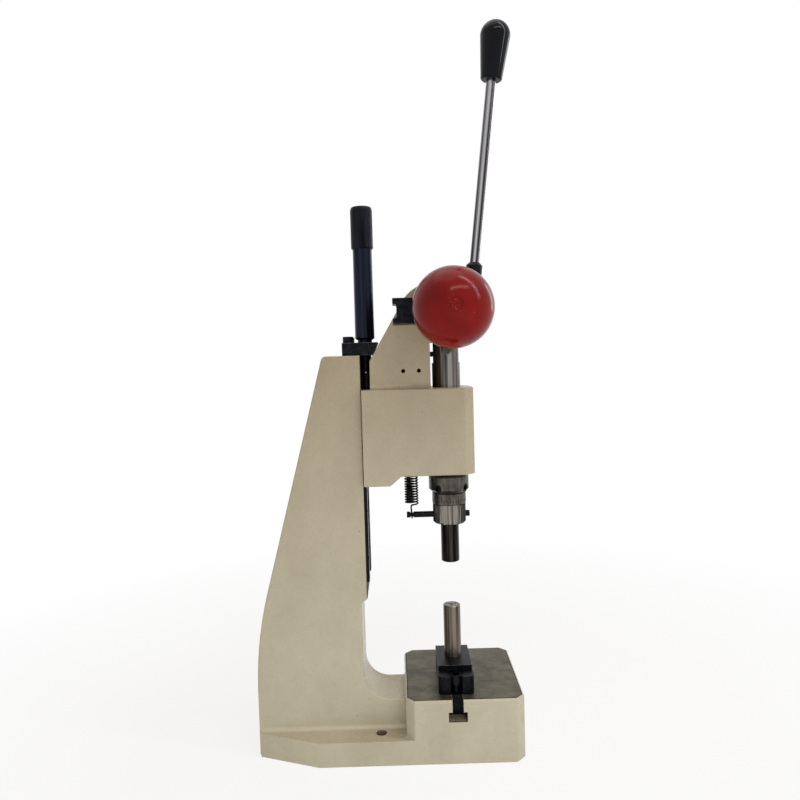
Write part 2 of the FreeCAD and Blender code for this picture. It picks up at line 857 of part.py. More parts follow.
def spindle_nut():
    z0 = head_top_height - spindle_nut_length
    foot = vec(-spindle_reach, 0, z0)
    top = vec(-spindle_reach, 0, head_top_height)
    hole = spindle_thread_diameter + 2 * running_clearance
    core = bar(hole, foot - AXIS_Z * cut_over, top + AXIS_Z * cut_over)
    return bar(spindle_nut_diameter, foot, top).cut(core)


def ram_bushes():
    bushes = []
    hole = ram_diameter + 2 * running_clearance
    for z0 in (head_floor_height, head_top_height - ram_bush_length):
        bush = bar(ram_bush_diameter, vec(0, 0, z0), vec(0, 0, z0 + ram_bush_length))
        bushes.append(bush.cut(bar(hole, vec(0, 0, z0 - cut_over),
                                   vec(0, 0, z0 + ram_bush_length + cut_over))))
    return bushes


def shaft_bushes():
    bushes = []
    hole = bar(shaft_diameter + 2 * running_clearance, vec(0, -tower_width, shaft_height),
               vec(0, tower_width, shaft_height))
    for side in (-1, 1):
        inner = vec(0, side * cheek_gap / 2, shaft_height)
        outer = vec(0, side * tower_width / 2, shaft_height)
        bushes.append(bar(shaft_bush_diameter, inner, outer).cut(hole))
    return bushes


def guide_screw():
    # A pin-ended screw from the tower's front edge into the groove down the ram's back.
    tip = -ram_diameter / 2 + ram_groove_depth - guide_tip_gap
    start = -tower_front_reach - guide_screw_length + edge_break
    return bar(guide_screw_diameter, vec(start, 0, guide_screw_height), vec(tip, 0, guide_screw_height))


def spring_anchor():
    z = anchor_height()
    return bar(anchor_diameter, vec(-spring_reach, -anchor_near_reach, z),
               vec(-spring_reach, head_width / 2 - edge_break, z))


# Cross shaft with crank, lever and ball

def shaft_left_end():
    return -(ball_side_reach - ball_diameter / 2 * (1 - ball_bore_share))


def shaft_right_end():
    return lever_side_reach + hub_thickness / 2 + shaft_end_margin


def cross_shaft():
    shaft = bar(shaft_diameter, vec(0, -block_inner_side - block_thickness, shaft_height),
                vec(0, shaft_right_end(), shaft_height))
    neck = bar(ball_stud_diameter, vec(0, shaft_left_end(), shaft_height),
               vec(0, -block_inner_side - block_thickness, shaft_height))
    return joined([shaft, neck]).cut(crank_key())


def crank_key():
    half = link_width / 2 + link_side_gap + crank_web_width
    z0 = shaft_height + shaft_diameter / 2 - crank_key_height / 2
    return block(-crank_key_width / 2, crank_key_width / 2, -half, half, z0, z0 + crank_key_height)


def crank_webs():
    webs = []
    inner = link_width / 2 + link_side_gap
    outer = inner + crank_web_width
    for side in (-1, 1):
        y0, y1 = sorted((side * inner, side * outer))
        web = strap(0, shaft_height, crank_hub_radius, crank_pin_x, crank_pin_z, crank_eye_radius, y0, y1)
        web = web.cut(bar(shaft_diameter, vec(0, -outer - cut_over, shaft_height),
                          vec(0, outer + cut_over, shaft_height)))
        web = web.cut(bar(crank_pin_diameter, vec(crank_pin_x, -outer - cut_over, crank_pin_z),
                          vec(crank_pin_x, outer + cut_over, crank_pin_z)))
        webs.append(web.cut(crank_key()))
    return webs


def crank_pin():
    half = link_width / 2 + link_side_gap + crank_web_width
    return bar(crank_pin_diameter, vec(crank_pin_x, -half, crank_pin_z),
               vec(crank_pin_x, half, crank_pin_z))


def lever_point(height):
    # A point on the lever's leaning axis at a given height.
    return vec(lever_foot_reach + (height - shaft_height) * lever_side[0] / lever_side[1],
               lever_side_reach, height)


def lever_axis():
    return vec(lever_side[0], 0, lever_side[1])


def rod_foot_height():
    return socket_top_height - rod_bury


def lever_hub():
    y0 = lever_side_reach - hub_thickness / 2
    y1 = lever_side_reach + hub_thickness / 2
    foot = lever_point(socket_foot_height)
    length = (lever_point(socket_top_height) - foot).Length
    radius = socket_diameter / 2
    points = [(0, 0), (radius, 0), (radius, length - socket_chamfer), (radius - socket_chamfer, length),
              (0, length)]
    socket = turned(points, foot, lever_axis())
    middle = lever_point((socket_foot_height + socket_top_height) / 2)
    arm = strap(0, shaft_height, hub_radius, middle.x, middle.z, hub_arm_radius,
                lever_side_reach - hub_arm_radius, lever_side_reach + hub_arm_radius)
    ring = bar(2 * hub_radius, vec(0, y0, shaft_height), vec(0, y1, shaft_height))
    end = bar(2 * hub_arm_radius, foot - lever_axis() * hub_arm_radius / 2, foot)
    body = joined([ring, arm, socket, end])
    rod_hole = bar(rod_diameter, lever_point(rod_foot_height()),
                   lever_point(socket_top_height + cut_over))
    cuts = [bar(shaft_diameter, vec(0, y0 - cut_over, shaft_height),
                vec(0, y1 + cut_over, shaft_height)), rod_hole]
    cuts.append(bar(hub_screw_diameter, vec(0, lever_side_reach, shaft_height),
                    vec(0, lever_side_reach, shaft_height - hub_radius - cut_over)))
    return without(body, cuts)


def hub_screw():
    mouth = vec(0, lever_side_reach, shaft_height - hub_radius + edge_break)
    length = hub_radius - edge_break - shaft_diameter / 2 - seat_clearance
    return set_screw(hub_screw_diameter, length, mouth, AXIS_Z * -1)


def lever_rod():
    return bar(rod_diameter, lever_point(rod_foot_height()), knob_place(1 - knob_bore_share))


def knob_place(share):
    # A point on the lever's axis, as a share of the knob's length above the knob's foot.
    top = lever_point(knob_top_height)
    return top - lever_axis() * knob_length * (1 - share)


def lever_knob():
    # Moulded knob: widest near its round top and tapered down to the rod.
    radius = knob_diameter / 2
    foot = knob_foot_diameter / 2
    belly = knob_length - radius
    side = knob_foot_radius * (1 - math.sqrt(0.5))
    edges = [
        Part.LineSegment(vec(0, 0, 0), vec(foot - knob_foot_radius, 0, 0)).toShape(),
        Part.Arc(vec(foot - knob_foot_radius, 0, 0), vec(foot - side, 0, side),
                 vec(foot, 0, knob_foot_radius)).toShape(),
        Part.LineSegment(vec(foot, 0, knob_foot_radius), vec(radius, 0, belly)).toShape(),
        Part.Arc(vec(radius, 0, belly), vec(radius * math.sqrt(0.5), 0, belly + radius * math.sqrt(0.5)),
                 vec(0, 0, knob_length)).toShape(),
        Part.LineSegment(vec(0, 0, knob_length), vec(0, 0, 0)).toShape(),
    ]
    solid = Part.Face(Part.Wire(edges)).revolve(vec(0, 0, 0), AXIS_Z, 360)
    solid.Placement = FreeCAD.Placement(knob_place(0), FreeCAD.Rotation(AXIS_Z, lever_axis()))
    return solid.cut(bar(rod_diameter, knob_place(-knob_bore_share), knob_place(1 - knob_bore_share)))


def ball_knob():
    centre = vec(0, -ball_side_reach, shaft_height)
    ball = Part.makeSphere(ball_diameter / 2, centre)
    chord = math.sqrt((ball_diameter / 2) ** 2 - (ball_seat_diameter / 2) ** 2)
    trim = block(-ball_diameter, ball_diameter, -ball_side_reach + chord, 0, shaft_height - ball_diameter,
                 shaft_height + ball_diameter)
    hole = bar(ball_stud_diameter, vec(0, shaft_left_end(), shaft_height), vec(0, 0, shaft_height))
    return without(ball, [trim, hole])


def stop_block():
    # A channel-shaped block clamped on the shaft, with a flange above and below its waist.
    y0 = -block_inner_side - block_thickness
    y1 = -block_inner_side
    z0 = shaft_height + block_lift - block_height / 2
    z1 = z0 + block_height
    body = block(-block_rear_reach, block_front_reach, y0, y1, z0, z1)
    waist = [(-block_rear_reach - cut_over, z0 + block_flange),
             (-block_rear_reach + block_waist, z0 + block_flange),
             (-block_rear_reach + block_waist, z1 - block_flange),
             (-block_rear_reach - cut_over, z1 - block_flange)]
    cuts = [side_prism(waist, y0 - cut_over, y1 + cut_over, {1: block_waist / 2, 2: block_waist / 2}),
            bar(shaft_diameter, vec(0, y0 - cut_over, shaft_height), vec(0, y1 + cut_over, shaft_height))]
    middle = (y0 + y1) / 2
    cuts.append(bar(hub_screw_diameter, vec(0, middle, shaft_height), vec(0, middle, z1 + cut_over)))
    collar = bar(2 * block_collar_radius, vec(0, -tower_width / 2 - body_gap, shaft_height),
                 vec(0, y1, shaft_height))
    cuts_for_collar = bar(shaft_diameter, vec(0, y1 - cut_over, shaft_height), vec(0, 0, shaft_height))
    return without(body, cuts).fuse(collar.cut(cuts_for_collar)).removeSplitter()


def block_screw():
    middle = -block_inner_side - block_thickness / 2
    mouth = vec(0, middle, shaft_height + block_lift + block_height / 2 - edge_break)
    length = block_height / 2 + block_lift - edge_break - shaft_diameter / 2
    return set_screw(hub_screw_diameter, length, mouth, AXIS_Z)


# Link between the crank pin and the ram

def link_bar():
    half = link_width / 2
    body = strap(crank_pin_x, crank_pin_z, link_waist_radius, 0, wrist_height, link_waist_radius, -half,
                 half)
    eyes = [bar(2 * link_upper_radius, vec(crank_pin_x, -half, crank_pin_z),
                vec(crank_pin_x, half, crank_pin_z)),
            bar(2 * link_lower_radius, vec(0, -half, wrist_height), vec(0, half, wrist_height))]
    holes = [bar(crank_pin_diameter + 2 * running_clearance, vec(crank_pin_x, -link_width, crank_pin_z),
                 vec(crank_pin_x, link_width, crank_pin_z)),
             bar(wrist_pin_diameter + 2 * link_play, vec(0, -link_width, wrist_height),
                 vec(0, link_width, wrist_height))]
    return without(joined([body] + eyes), holes)


# Ram with its pins, collar, dial and holder

def ram():
    body = bar(ram_diameter, vec(0, 0, ram_foot_height), vec(0, 0, ram_top_height))
    spigot = bar(ram_spigot_diameter, vec(0, 0, spigot_foot_height), vec(0, 0, ram_foot_height))
    slot_half = link_width / 2 + link_side_gap
    reach = ram_diameter
    cuts = [
        block(-reach, reach, -slot_half, slot_half, ram_slot_floor_height, ram_top_height + cut_over),
        bar(wrist_pin_diameter, vec(0, -reach, wrist_height), vec(0, reach, wrist_height)),
        block(-reach, -ram_diameter / 2 + ram_groove_depth, -ram_groove_width / 2 - body_gap,
              ram_groove_width / 2 + body_gap, ram_groove_foot_height, ram_top_height + cut_over),
        bar(pin_diameter, vec(-reach, 0, pin_height), vec(reach, 0, pin_height)),
    ]
    for side in (-1, 1):
        inner = side * (ram_diameter / 2 - wrist_recess_depth)
        cuts.append(bar(wrist_recess_diameter, vec(0, inner, wrist_height),
                        vec(0, side * reach, wrist_height)))
    return without(joined([body, spigot]), cuts)


def wrist_pin():
    half = ram_diameter / 2 - wrist_recess_depth
    return bar(wrist_pin_diameter, vec(0, -half, wrist_height), vec(0, half, wrist_height))


def collar_screw_spots():
    spots = []
    for i in range(collar_screw_count):
        angle = math.radians(collar_screw_first_angle - 90 + i * 360 / collar_screw_count)
        out = vec(math.cos(angle), math.sin(angle), 0)
        spots.append((vec(0, 0, collar_screw_height), out))
    return spots


def clamp_collar():
    radius = collar_diameter / 2
    z0 = ram_foot_height + body_gap
    z1 = collar_top_height
    inner = ram_diameter / 2
    points = [(inner, z0), (radius - collar_foot_chamfer, z0), (radius, z0 + collar_foot_chamfer),
              (radius, z1 - collar_top_chamfer), (radius - collar_top_chamfer, z1), (inner, z1)]
    ring = turned(points, vec(0, 0, 0), AXIS_Z)
    for centre, out in collar_screw_spots():
        ring = ring.cut(bar(collar_screw_diameter, centre + out * ram_diameter / 3,
                            centre + out * collar_diameter))
    return ring


def collar_screws():
    screws = []
    for centre, out in collar_screw_spots():
        mouth = centre + out * (collar_diameter / 2 - collar_screw_sink)
        length = collar_diameter / 2 - collar_screw_sink - ram_diameter / 2 - seat_clearance
        screws.append(set_screw(collar_screw_diameter, length, mouth, out))
    return screws


def dial_ring():
    z0 = dial_foot_height
    z1 = ram_foot_height
    radius = dial_diameter / 2
    bore = ram_spigot_diameter / 2 + running_clearance
    neck = holder_neck_diameter / 2 + holder_neck_play
    room = holder_neck_height + slide_gap
    points = [(neck, z0), (radius - edge_break, z0), (radius, z0 + edge_break), (radius, z1 - edge_break),
              (radius - edge_break, z1 - slide_gap), (bore, z1 - slide_gap), (bore, z0 + room),
              (neck, z0 + room)]
    return turned(points, vec(0, 0, 0), AXIS_Z)


def holder_top_height():
    return dial_foot_height - slide_gap


def punch_holder():
    # Holder with two flats and a neck inside the dial. The pin keeps it from turning.
    z0 = holder_foot_height
    z1 = holder_top_height()
    radius = holder_diameter / 2
    neck = holder_neck_diameter / 2
    points = [(0, z0), (radius - holder_foot_chamfer, z0), (radius, z0 + holder_foot_chamfer),
              (radius, z1),
              (neck, z1), (neck, z1 + holder_neck_height), (0, z1 + holder_neck_height)]
    body = turned(points, vec(0, 0, 0), AXIS_Z)
    flat = math.sqrt(radius ** 2 - (holder_flat_width / 2) ** 2)
    bore_foot = spigot_foot_height - seat_clearance
    cuts = [bar(ram_spigot_diameter + 2 * running_clearance, vec(0, 0, bore_foot),
                vec(0, 0, z1 + dial_height)),
            bar(punch_shank_diameter, vec(0, 0, z0 - cut_over), vec(0, 0, bore_foot + cut_over))]
    for side in (-1, 1):
        y0, y1 = sorted((side * flat, side * holder_diameter))
        cuts.append(block(-radius, radius, y0, y1, z0 - cut_over, z1))
    half = pin_diameter / 2 + seat_clearance
    cuts.append(bar(2 * half, vec(-holder_diameter, 0, pin_height), vec(holder_diameter, 0, pin_height)))
    cuts.append(block(-holder_diameter, holder_diameter, -half, half, pin_height,
                      pin_height + holder_travel))
    top = pin_height + holder_travel
    cuts.append(bar(2 * half, vec(-holder_diameter, 0, top), vec(holder_diameter, 0, top)))
    return without(body, cuts)


def cross_pin():
    pin = bar(pin_diameter, vec(-pin_rear_reach, 0, pin_height), vec(pin_front_reach, 0, pin_height))
    half = pin_groove_width / 2
    outer = bar(2 * pin_diameter, vec(-spring_reach - half, 0, pin_height),
                vec(-spring_reach + half, 0, pin_height))
    core = bar(pin_diameter - 2 * pin_groove_depth, vec(-spring_reach - half, 0, pin_height),
               vec(-spring_reach + half, 0, pin_height))
    return pin.cut(outer.cut(core))


def punch():
    radius = punch_diameter / 2
    z0 = punch_foot_height
    z1 = holder_foot_height
    shank = punch_shank_diameter / 2
    z2 = spigot_foot_height - punch_shank_play
    points = [(0, z0), (radius - edge_break, z0), (radius, z0 + edge_break), (radius, z1), (shank, z1),
              (shank, z2),
              (0, z2)]
    solid = turned(points, vec(0, 0, 0), AXIS_Z)
    return solid.cut(bar(punch_bore_diameter, vec(0, 0, z0 - cut_over), vec(0, 0, z0 + punch_bore_depth)))


# Return spring: one wire, coiled, with a hook round the pin below and the anchor above

def unit_to(point_from, point_to):
    return (point_to - point_from).normalize()


def arc_through(start, heading, end):
    # The one arc that leaves the start along the heading and reaches the end.
    chord = end - start
    along = chord.dot(heading)
    across = chord - heading * along
    radius = chord.Length ** 2 / (2 * across.Length)
    centre = start + across.normalize() * radius
    middle = centre + unit_to(centre, (start + end) * 0.5) * radius
    last = heading * -1 + chord * (2 * along / chord.Length ** 2)
    return Part.Arc(start, middle, end).toShape(), last, radius


def biarc(start, heading, end, last_heading):
    # Two arcs with a shared tangent that carry the wire from one point to another.
    way = end - start
    both = heading + last_heading
    flat = 2 * (1 - heading.dot(last_heading))
    pull = way.dot(both)
    reach = (math.sqrt(pull ** 2 + flat * way.dot(way)) - pull) / flat
    joint = (start + heading * reach + end - last_heading * reach) * 0.5
    first, middle_heading, radius_a = arc_through(start, heading, joint)
    second, _, radius_b = arc_through(joint, middle_heading, end)
    return [first, second], min(radius_a, radius_b)


def coil_point(turn):
    radius = (spring_diameter - spring_wire) / 2
    angle = 2 * math.pi * turn
    return vec(-spring_reach + radius * math.sin(angle), -radius * math.cos(angle),
               spring_foot_height + spring_pitch * turn)


def coil_heading(turn):
    radius = (spring_diameter - spring_wire) / 2
    angle = 2 * math.pi * turn
    return vec(2 * math.pi * radius * math.cos(angle), 2 * math.pi * radius * math.sin(angle),
               spring_pitch).normalize()


def hook_edges(pin_z, pin_width, end, heading, out, up):
    # From the coil's end the wire turns along the axis, rounds the pin and ends straight.
    radius = pin_width / 2 + hook_clearance + spring_wire / 2
    middle = vec(-spring_reach, 0, pin_z)
    near = middle + out * radius
    far = middle - out * radius
    rise = AXIS_Z * up
    edges, least = biarc(end, heading, near - rise * hook_clearance, rise)
    edges.append(Part.LineSegment(near - rise * hook_clearance, near).toShape())
    edges.append(Part.Arc(near, middle + rise * radius, far).toShape())
    edges.append(Part.LineSegment(far, far - rise * spring_wire).toShape())
    return edges, min(least, radius)


def spring_path():
    # Half turns, and one quarter turn last, so that the upper hook crosses the lower one.
    stations = [i / 2 for i in range(2 * spring_turns + 1)] + [spring_turns + 1 / 4]
    coil = []
    least = spring_diameter
    for i in range(len(stations) - 1):
        pair, radius = biarc(coil_point(stations[i]), coil_heading(stations[i]),
                             coil_point(stations[i + 1]),
                             coil_heading(stations[i + 1]))
        coil = coil + pair
        least = min(least, radius)
    groove = pin_diameter - 2 * pin_groove_depth
    last = stations[-1]
    low, low_least = hook_edges(pin_height, groove, coil_point(0), coil_heading(0) * -1, AXIS_Y * -1, -1)
    high, high_least = hook_edges(anchor_height(), anchor_diameter, coil_point(last), coil_heading(last),
                                  AXIS_X, 1)
    path = [edge for edge in reversed(low)] + coil + high
    return path, min(least, low_least, high_least)


def wire_gap(path):
    # The least gap between stretches of wire that lie more than half a turn apart.
    points = []
    run = 0
    for edge in path:
        count = 6
        for i in range(count):
            share = i / count
            value = edge.FirstParameter + (edge.LastParameter - edge.FirstParameter) * share
            points.append((run + edge.Length * share, edge.valueAt(value)))
        run = run + edge.Length
    apart = math.pi * (spring_diameter - spring_wire) / 2
    least = spring_diameter
    for i in range(len(points)):
        for j in range(i + 1, len(points)):
            if points[j][0] - points[i][0] > apart:
                least = min(least, (points[j][1] - points[i][1]).Length - spring_wire)
    return least


def return_spring():
    path, tightest = spring_path()
    wire = Part.Wire(Part.__sortEdges__(path))
    start = wire.OrderedVertexes[0].Point
    first = wire.OrderedEdges[0]
    heading = unit_to(start, wire.OrderedVertexes[1].Point)
    section = Part.Wire([Part.Circle(start, heading, spring_wire / 2).toShape()])
    tube = wire.makePipeShell([section], True, False)
    gap = wire_gap(wire.OrderedEdges)
    share = tube.Volume / (math.pi * (spring_wire / 2) ** 2 * wire.Length)
    print("spring: turns %d, tightest bend %.2f mm, least gap %.2f mm (limit %.1f), "
          "volume share %.4f, first run %.2f"
          % (spring_turns, tightest, gap, spring_least_gap, share, first.Length))
    return tube


# Die block on the table with its nut, screws and lower die

def die_block():
    half = die_block_width / 2
    z0 = table_height + slide_gap
    z1 = die_block_top
    main = block(-half, half, -die_block_near_reach, die_block_far_reach, z0, z1)
    wide = half + fork_overhang
    near = -fork_near_reach
    far = -die_block_near_reach
    slot = fork_slot_width / 2
    fork_points = [(-wide, far), (-wide, near), (-slot, near), (-slot, -clamp_screw_reach),
                   (slot, -clamp_screw_reach), (slot, near), (wide, near), (wide, far)]
    radii = {1: fork_corner_radius, 2: fork_corner_radius / 2, 5: fork_corner_radius / 2,
             6: fork_corner_radius}
    fork = plan_prism(fork_points, z0, table_height + fork_height, radii)
    body = joined([main, fork])
    recess_floor = table_height + fork_height - clamp_recess_depth
    die_floor = z1 - die_seat_depth
    screw_z = (die_floor + z1) / 2
    cuts = [
        bar(fork_slot_width, vec(0, -clamp_screw_reach, z0 - cut_over),
            vec(0, -clamp_screw_reach, table_height + fork_height + cut_over)),
        bar(clamp_recess_diameter, vec(0, -clamp_screw_reach, recess_floor),
            vec(0, -clamp_screw_reach, z1 + cut_over)),
        bar(die_diameter + 2 * seat_clearance, vec(0, 0, die_floor), vec(0, 0, z1 + cut_over)),
        bar(die_screw_diameter, vec(0, 0, screw_z), vec(half + cut_over, 0, screw_z)),
    ]
    return without(body, cuts)


def lower_die():
    radius = die_diameter / 2
    z0 = die_block_top - die_seat_depth
    z1 = die_top_height
    points = [(0, z0), (radius, z0), (radius, z1 - edge_break), (radius - edge_break, z1), (0, z1)]
    solid = turned(points, vec(0, 0, 0), AXIS_Z)
    return solid.cut(bar(die_bore_diameter, vec(0, 0, z1 - die_bore_depth), vec(0, 0, z1 + cut_over)))


def die_screw():
    half = die_block_width / 2
    z = die_block_top - die_seat_depth / 2
    length = half - edge_break - die_diameter / 2 - 2 * seat_clearance
    return set_screw(die_screw_diameter, length, vec(half - edge_break, 0, z), AXIS_X)


def nut_floor_height():
    head_depth = slot_head_depth - nut_head_play - nut_head_drop
    return table_height - slot_neck_depth - nut_head_drop - head_depth


def tee_nut():
    y0 = -clamp_screw_reach - nut_length / 2
    y1 = -clamp_screw_reach + nut_length / 2
    neck = slot_neck_width / 2 - nut_neck_play
    head = slot_head_width / 2 - nut_head_play
    shoulder = table_height - slot_neck_depth - nut_head_drop
    body = block(-head, head, y0, y1, nut_floor_height(), shoulder)
    stem = block(-neck, neck, y0, y1, shoulder, table_height - body_gap)
    hole = bar(clamp_screw_thread, vec(0, -clamp_screw_reach, nut_floor_height() - cut_over),
               vec(0, -clamp_screw_reach, table_height))
    return joined([body, stem]).cut(hole)


def clamp_screw():
    seat_z = table_height + fork_height - clamp_recess_depth
    length = seat_z - nut_floor_height() - edge_break
    return cap_screw(clamp_screw_thread, clamp_screw_head, clamp_screw_head_height, length,
                     vec(0, -clamp_screw_reach, seat_z), AXIS_Z)


def write(name, solids):
    if not isinstance(solids, list):
        solids = [solids]
    shape = solids[0] if len(solids) == 1 else Part.makeCompound(solids)
    shape.exportStep(os.path.join("parts", name + ".step"))
    box = shape.BoundBox
    print("%-16s %2d solid(s), volume %10.1f mm3, z %.1f to %.1f" % (name, len(shape.Solids),
                                                                     shape.Volume, box.ZMin,
                                                                   box.ZMax))


PIECES = {
    "base_casting": base_casting,
    "way_rail_near": lambda: way_rail(-1, dovetail_mouth_width / 2),
    "way_rail_far": way_rail_far,
    "way_screws": way_screws,
    "gib_strip": gib_strip,
    "gib_screws": gib_screws,
    "spindle_bracket": spindle_bracket,
    "bracket_screws": bracket_screws,
    "height_spindle": height_spindle,
    "thrust_ring": thrust_ring,
    "spindle_handle": spindle_handle,
    "handle_grip": handle_grip,
    "head_casting": head_casting,
    "spindle_nut": spindle_nut,
    "ram_bushes": ram_bushes,
    "shaft_bushes": shaft_bushes,
    "guide_screw": guide_screw,
    "spring_anchor": spring_anchor,
    "cross_shaft": cross_shaft,
    "crank_key": crank_key,
    "crank_webs": crank_webs,
    "crank_pin": crank_pin,
    "lever_hub": lever_hub,
    "hub_screw": hub_screw,
    "lever_rod": lever_rod,
    "lever_knob": lever_knob,
    "ball_knob": ball_knob,
    "stop_block": stop_block,
    "block_screw": block_screw,
    "toggle_link": link_bar,
    "ram": ram,
    "wrist_pin": wrist_pin,
    "clamp_collar": clamp_collar,
    "collar_screws": collar_screws,
    "dial_ring": dial_ring,
    "punch_holder": punch_holder,
    "cross_pin": cross_pin,
    "punch": punch,
    "return_spring": return_spring,
    "die_block": die_block,
    "lower_die": lower_die,
    "die_screw": die_screw,
    "tee_nut": tee_nut,
    "clamp_screw": clamp_screw,
}

os.makedirs("parts", exist_ok=True)
for piece_name, make in PIECES.items():
    write(piece_name, make())
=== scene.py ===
import math

import bmesh
import bpy
from mathutils import Matrix, Vector


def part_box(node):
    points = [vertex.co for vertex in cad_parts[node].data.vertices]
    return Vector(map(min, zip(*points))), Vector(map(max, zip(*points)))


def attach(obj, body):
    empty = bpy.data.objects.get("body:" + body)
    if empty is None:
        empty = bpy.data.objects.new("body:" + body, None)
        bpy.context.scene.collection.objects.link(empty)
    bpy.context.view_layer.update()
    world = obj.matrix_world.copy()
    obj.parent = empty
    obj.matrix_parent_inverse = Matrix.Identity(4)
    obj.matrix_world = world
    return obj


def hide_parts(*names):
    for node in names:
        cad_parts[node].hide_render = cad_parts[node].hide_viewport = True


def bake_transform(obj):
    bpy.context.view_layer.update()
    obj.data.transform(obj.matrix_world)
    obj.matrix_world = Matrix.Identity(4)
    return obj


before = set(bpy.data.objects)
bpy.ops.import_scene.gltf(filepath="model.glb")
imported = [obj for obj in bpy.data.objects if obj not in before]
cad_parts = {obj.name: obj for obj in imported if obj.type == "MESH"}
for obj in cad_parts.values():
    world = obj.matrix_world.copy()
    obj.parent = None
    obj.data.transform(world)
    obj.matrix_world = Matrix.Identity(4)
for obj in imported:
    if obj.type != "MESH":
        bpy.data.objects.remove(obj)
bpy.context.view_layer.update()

# ---- Frame casting ----
# One grey iron casting: foot, column, throat and table, rough cast, filled and sprayed
# with cream machine enamel. Only the table's top, its tee slot and the seat of the ways
# are machined bare. Two holes in the foot take the bench bolts.

cast_edge_mm = 1.2
table_edge_mm = 2.6
slot_edge_mm = 0.3
enamel_face = "#c0b79f"
enamel_worn = "#b6ac94"
enamel_grime = "#8b7f66"
enamel_chip = "#5a4c3a"
# Painted shade: from the lower height to the upper the enamel is multiplied darker and browner.
enamel_upper_shade = "#e0d4c9"
upper_shade_from_mm = (100, 420)
merged_within = 0.000003
flat_within_degrees = 0.6
rounded_over_degrees = 35
ground_dark = "#3e3a2f"
ground_pale = "#676250"
iron_stain = "#4c3f33"


def colour(code):
    # An sRGB hex code as the linear colour that a shader takes.
    parts = [int(code[i:i + 2], 16) / 255 for i in (1, 3, 5)]
    return [p / 12.92 if p <= 0.04045 else ((p + 0.055) / 1.055) ** 2.4 for p in parts] + [1.0]


def set_up(node, settings={}, links={}):
    # A setting is an attribute, an input's value or a ramp's stops in hex colours or grey
    # levels. A link comes from a socket or from a node's first output.
    for key, value in settings.items():
        if key == "stops":
            for element in value[2:]:
                node.color_ramp.elements.new(0.5)
            for element, (at, tone) in zip(node.color_ramp.elements, value):
                element.position = at
                element.color = colour(tone) if isinstance(tone, str) else [tone, tone, tone, 1.0]
        elif isinstance(key, str) and hasattr(node, key):
            setattr(node, key, value)
        else:
            node.inputs[key].default_value = value
    for key, source in links.items():
        node.id_data.links.new(getattr(source, "outputs", [source])[0], node.inputs[key])
    return node


def add(tree, kind, settings={}, links={}):
    # One node with its settings and links.
    return set_up(tree.nodes.new(kind), settings, links)


def finish(name):
    # An empty material with its surface shader and the place on the piece, in metres.
    made = bpy.data.materials.new(name)
    made.use_nodes = True
    made.node_tree.nodes.clear()
    tree = made.node_tree
    surface = add(tree, "ShaderNodeBsdfPrincipled")
    add(tree, "ShaderNodeOutputMaterial", {}, {"Surface": surface})
    return made, tree, surface, add(tree, "ShaderNodeTexCoord").outputs["Object"]


def step(x_mm, y_mm, z_mm, lean=0.0):
    # Settings that measure a place in steps of these millimetres, so that a pattern is
    # drawn out along a bar. A bar that leans gives its lean about the cross shaft's line.
    return {"vector_type": "TEXTURE", "Rotation": (0, lean, 0),
            "Scale": (x_mm / 1000, y_mm / 1000, z_mm / 1000)}


def shape_of(node):
    # The node's solid as one merged mesh with flat faces joined.
    solid = bmesh.new()
    solid.from_mesh(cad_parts[node].data)
    bmesh.ops.remove_doubles(solid, verts=solid.verts, dist=merged_within)
    bmesh.ops.dissolve_limit(solid, angle_limit=math.radians(flat_within_degrees), verts=solid.verts,
                             edges=solid.edges)
    return solid


def piece_from(solid, name, materials, body, smooth_angle=35):
    # A finished piece from a mesh being built, with its materials and body.
    data = bpy.data.meshes.new(name)
    solid.to_mesh(data)
    solid.free()
    data.polygons.foreach_set("use_smooth", [True] * len(data.polygons))
    data.set_sharp_from_angle(angle=math.radians(smooth_angle))
    for material in materials:
        data.materials.append(material)
    made = bpy.data.objects.new(name, data)
    bpy.context.scene.collection.objects.link(made)
    if body:
        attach(made, body)
    return made


def settled(made):
    # The piece's modifiers worked into its mesh.
    bpy.context.view_layer.update()
    seen = made.evaluated_get(bpy.context.evaluated_depsgraph_get())
    data = bpy.data.meshes.new_from_object(seen)
    made.modifiers.clear()
    made.data = data
    return made


def lit_flat(data, limit=math.cos(math.radians(40))):
    # Corner normals that keep wide faces evenly lit up to their rounded edges: those of
    # the faces that meet there within forty degrees, each weighted by its area.
    around = [[] for _ in data.vertices]
    for face in data.polygons:
        for corner in face.vertices:
            around[corner].append((face.normal.copy(), face.area))
    normals = [None] * len(data.loops)
    for face in data.polygons:
        for loop, corner in zip(face.loop_indices, face.vertices):
            sides = [way * area for way, area in around[corner] if way.dot(face.normal) > limit]
            normals[loop] = sum(sides, Vector()).normalized()
    data.normals_split_custom_set(normals)


def long_edges(edge, shortest=0.0025):
    # Filed edges of a milled block: the straight ones, not the rims of small holes.
    return 1.0 if edge.calc_length() > shortest else 0.0


def with_broken_edges(node, name, edge_mm, materials, body, share_of=long_edges, edge_wear_and_light=-1,
                      segments=3):
    # A copy of a node's solid whose sharp edges are rounded, as cast or filed edges are.
    # The share gives each edge its part of the full width. Rounded faces may take a finish of
    # their own, which gives wear and painted light along the edges.
    solid = shape_of(node)
    share = solid.edges.layers.float.new("bevel_weight_edge")
    for edge in solid.edges:
        if len(edge.link_faces) == 2 and edge.calc_face_angle() > math.radians(rounded_over_degrees):
            edge[share] = share_of(edge)
    made = piece_from(solid, name, materials, None)
    rounding = made.modifiers.new("broken edges", "BEVEL")
    rounding.width = edge_mm / 1000
    rounding.segments = segments
    rounding.limit_method = "WEIGHT"
    rounding.use_clamp_overlap = False
    rounding.material = edge_wear_and_light
    lit_flat(settled(made).data)
    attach(made, body)
    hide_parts(node)
    return made
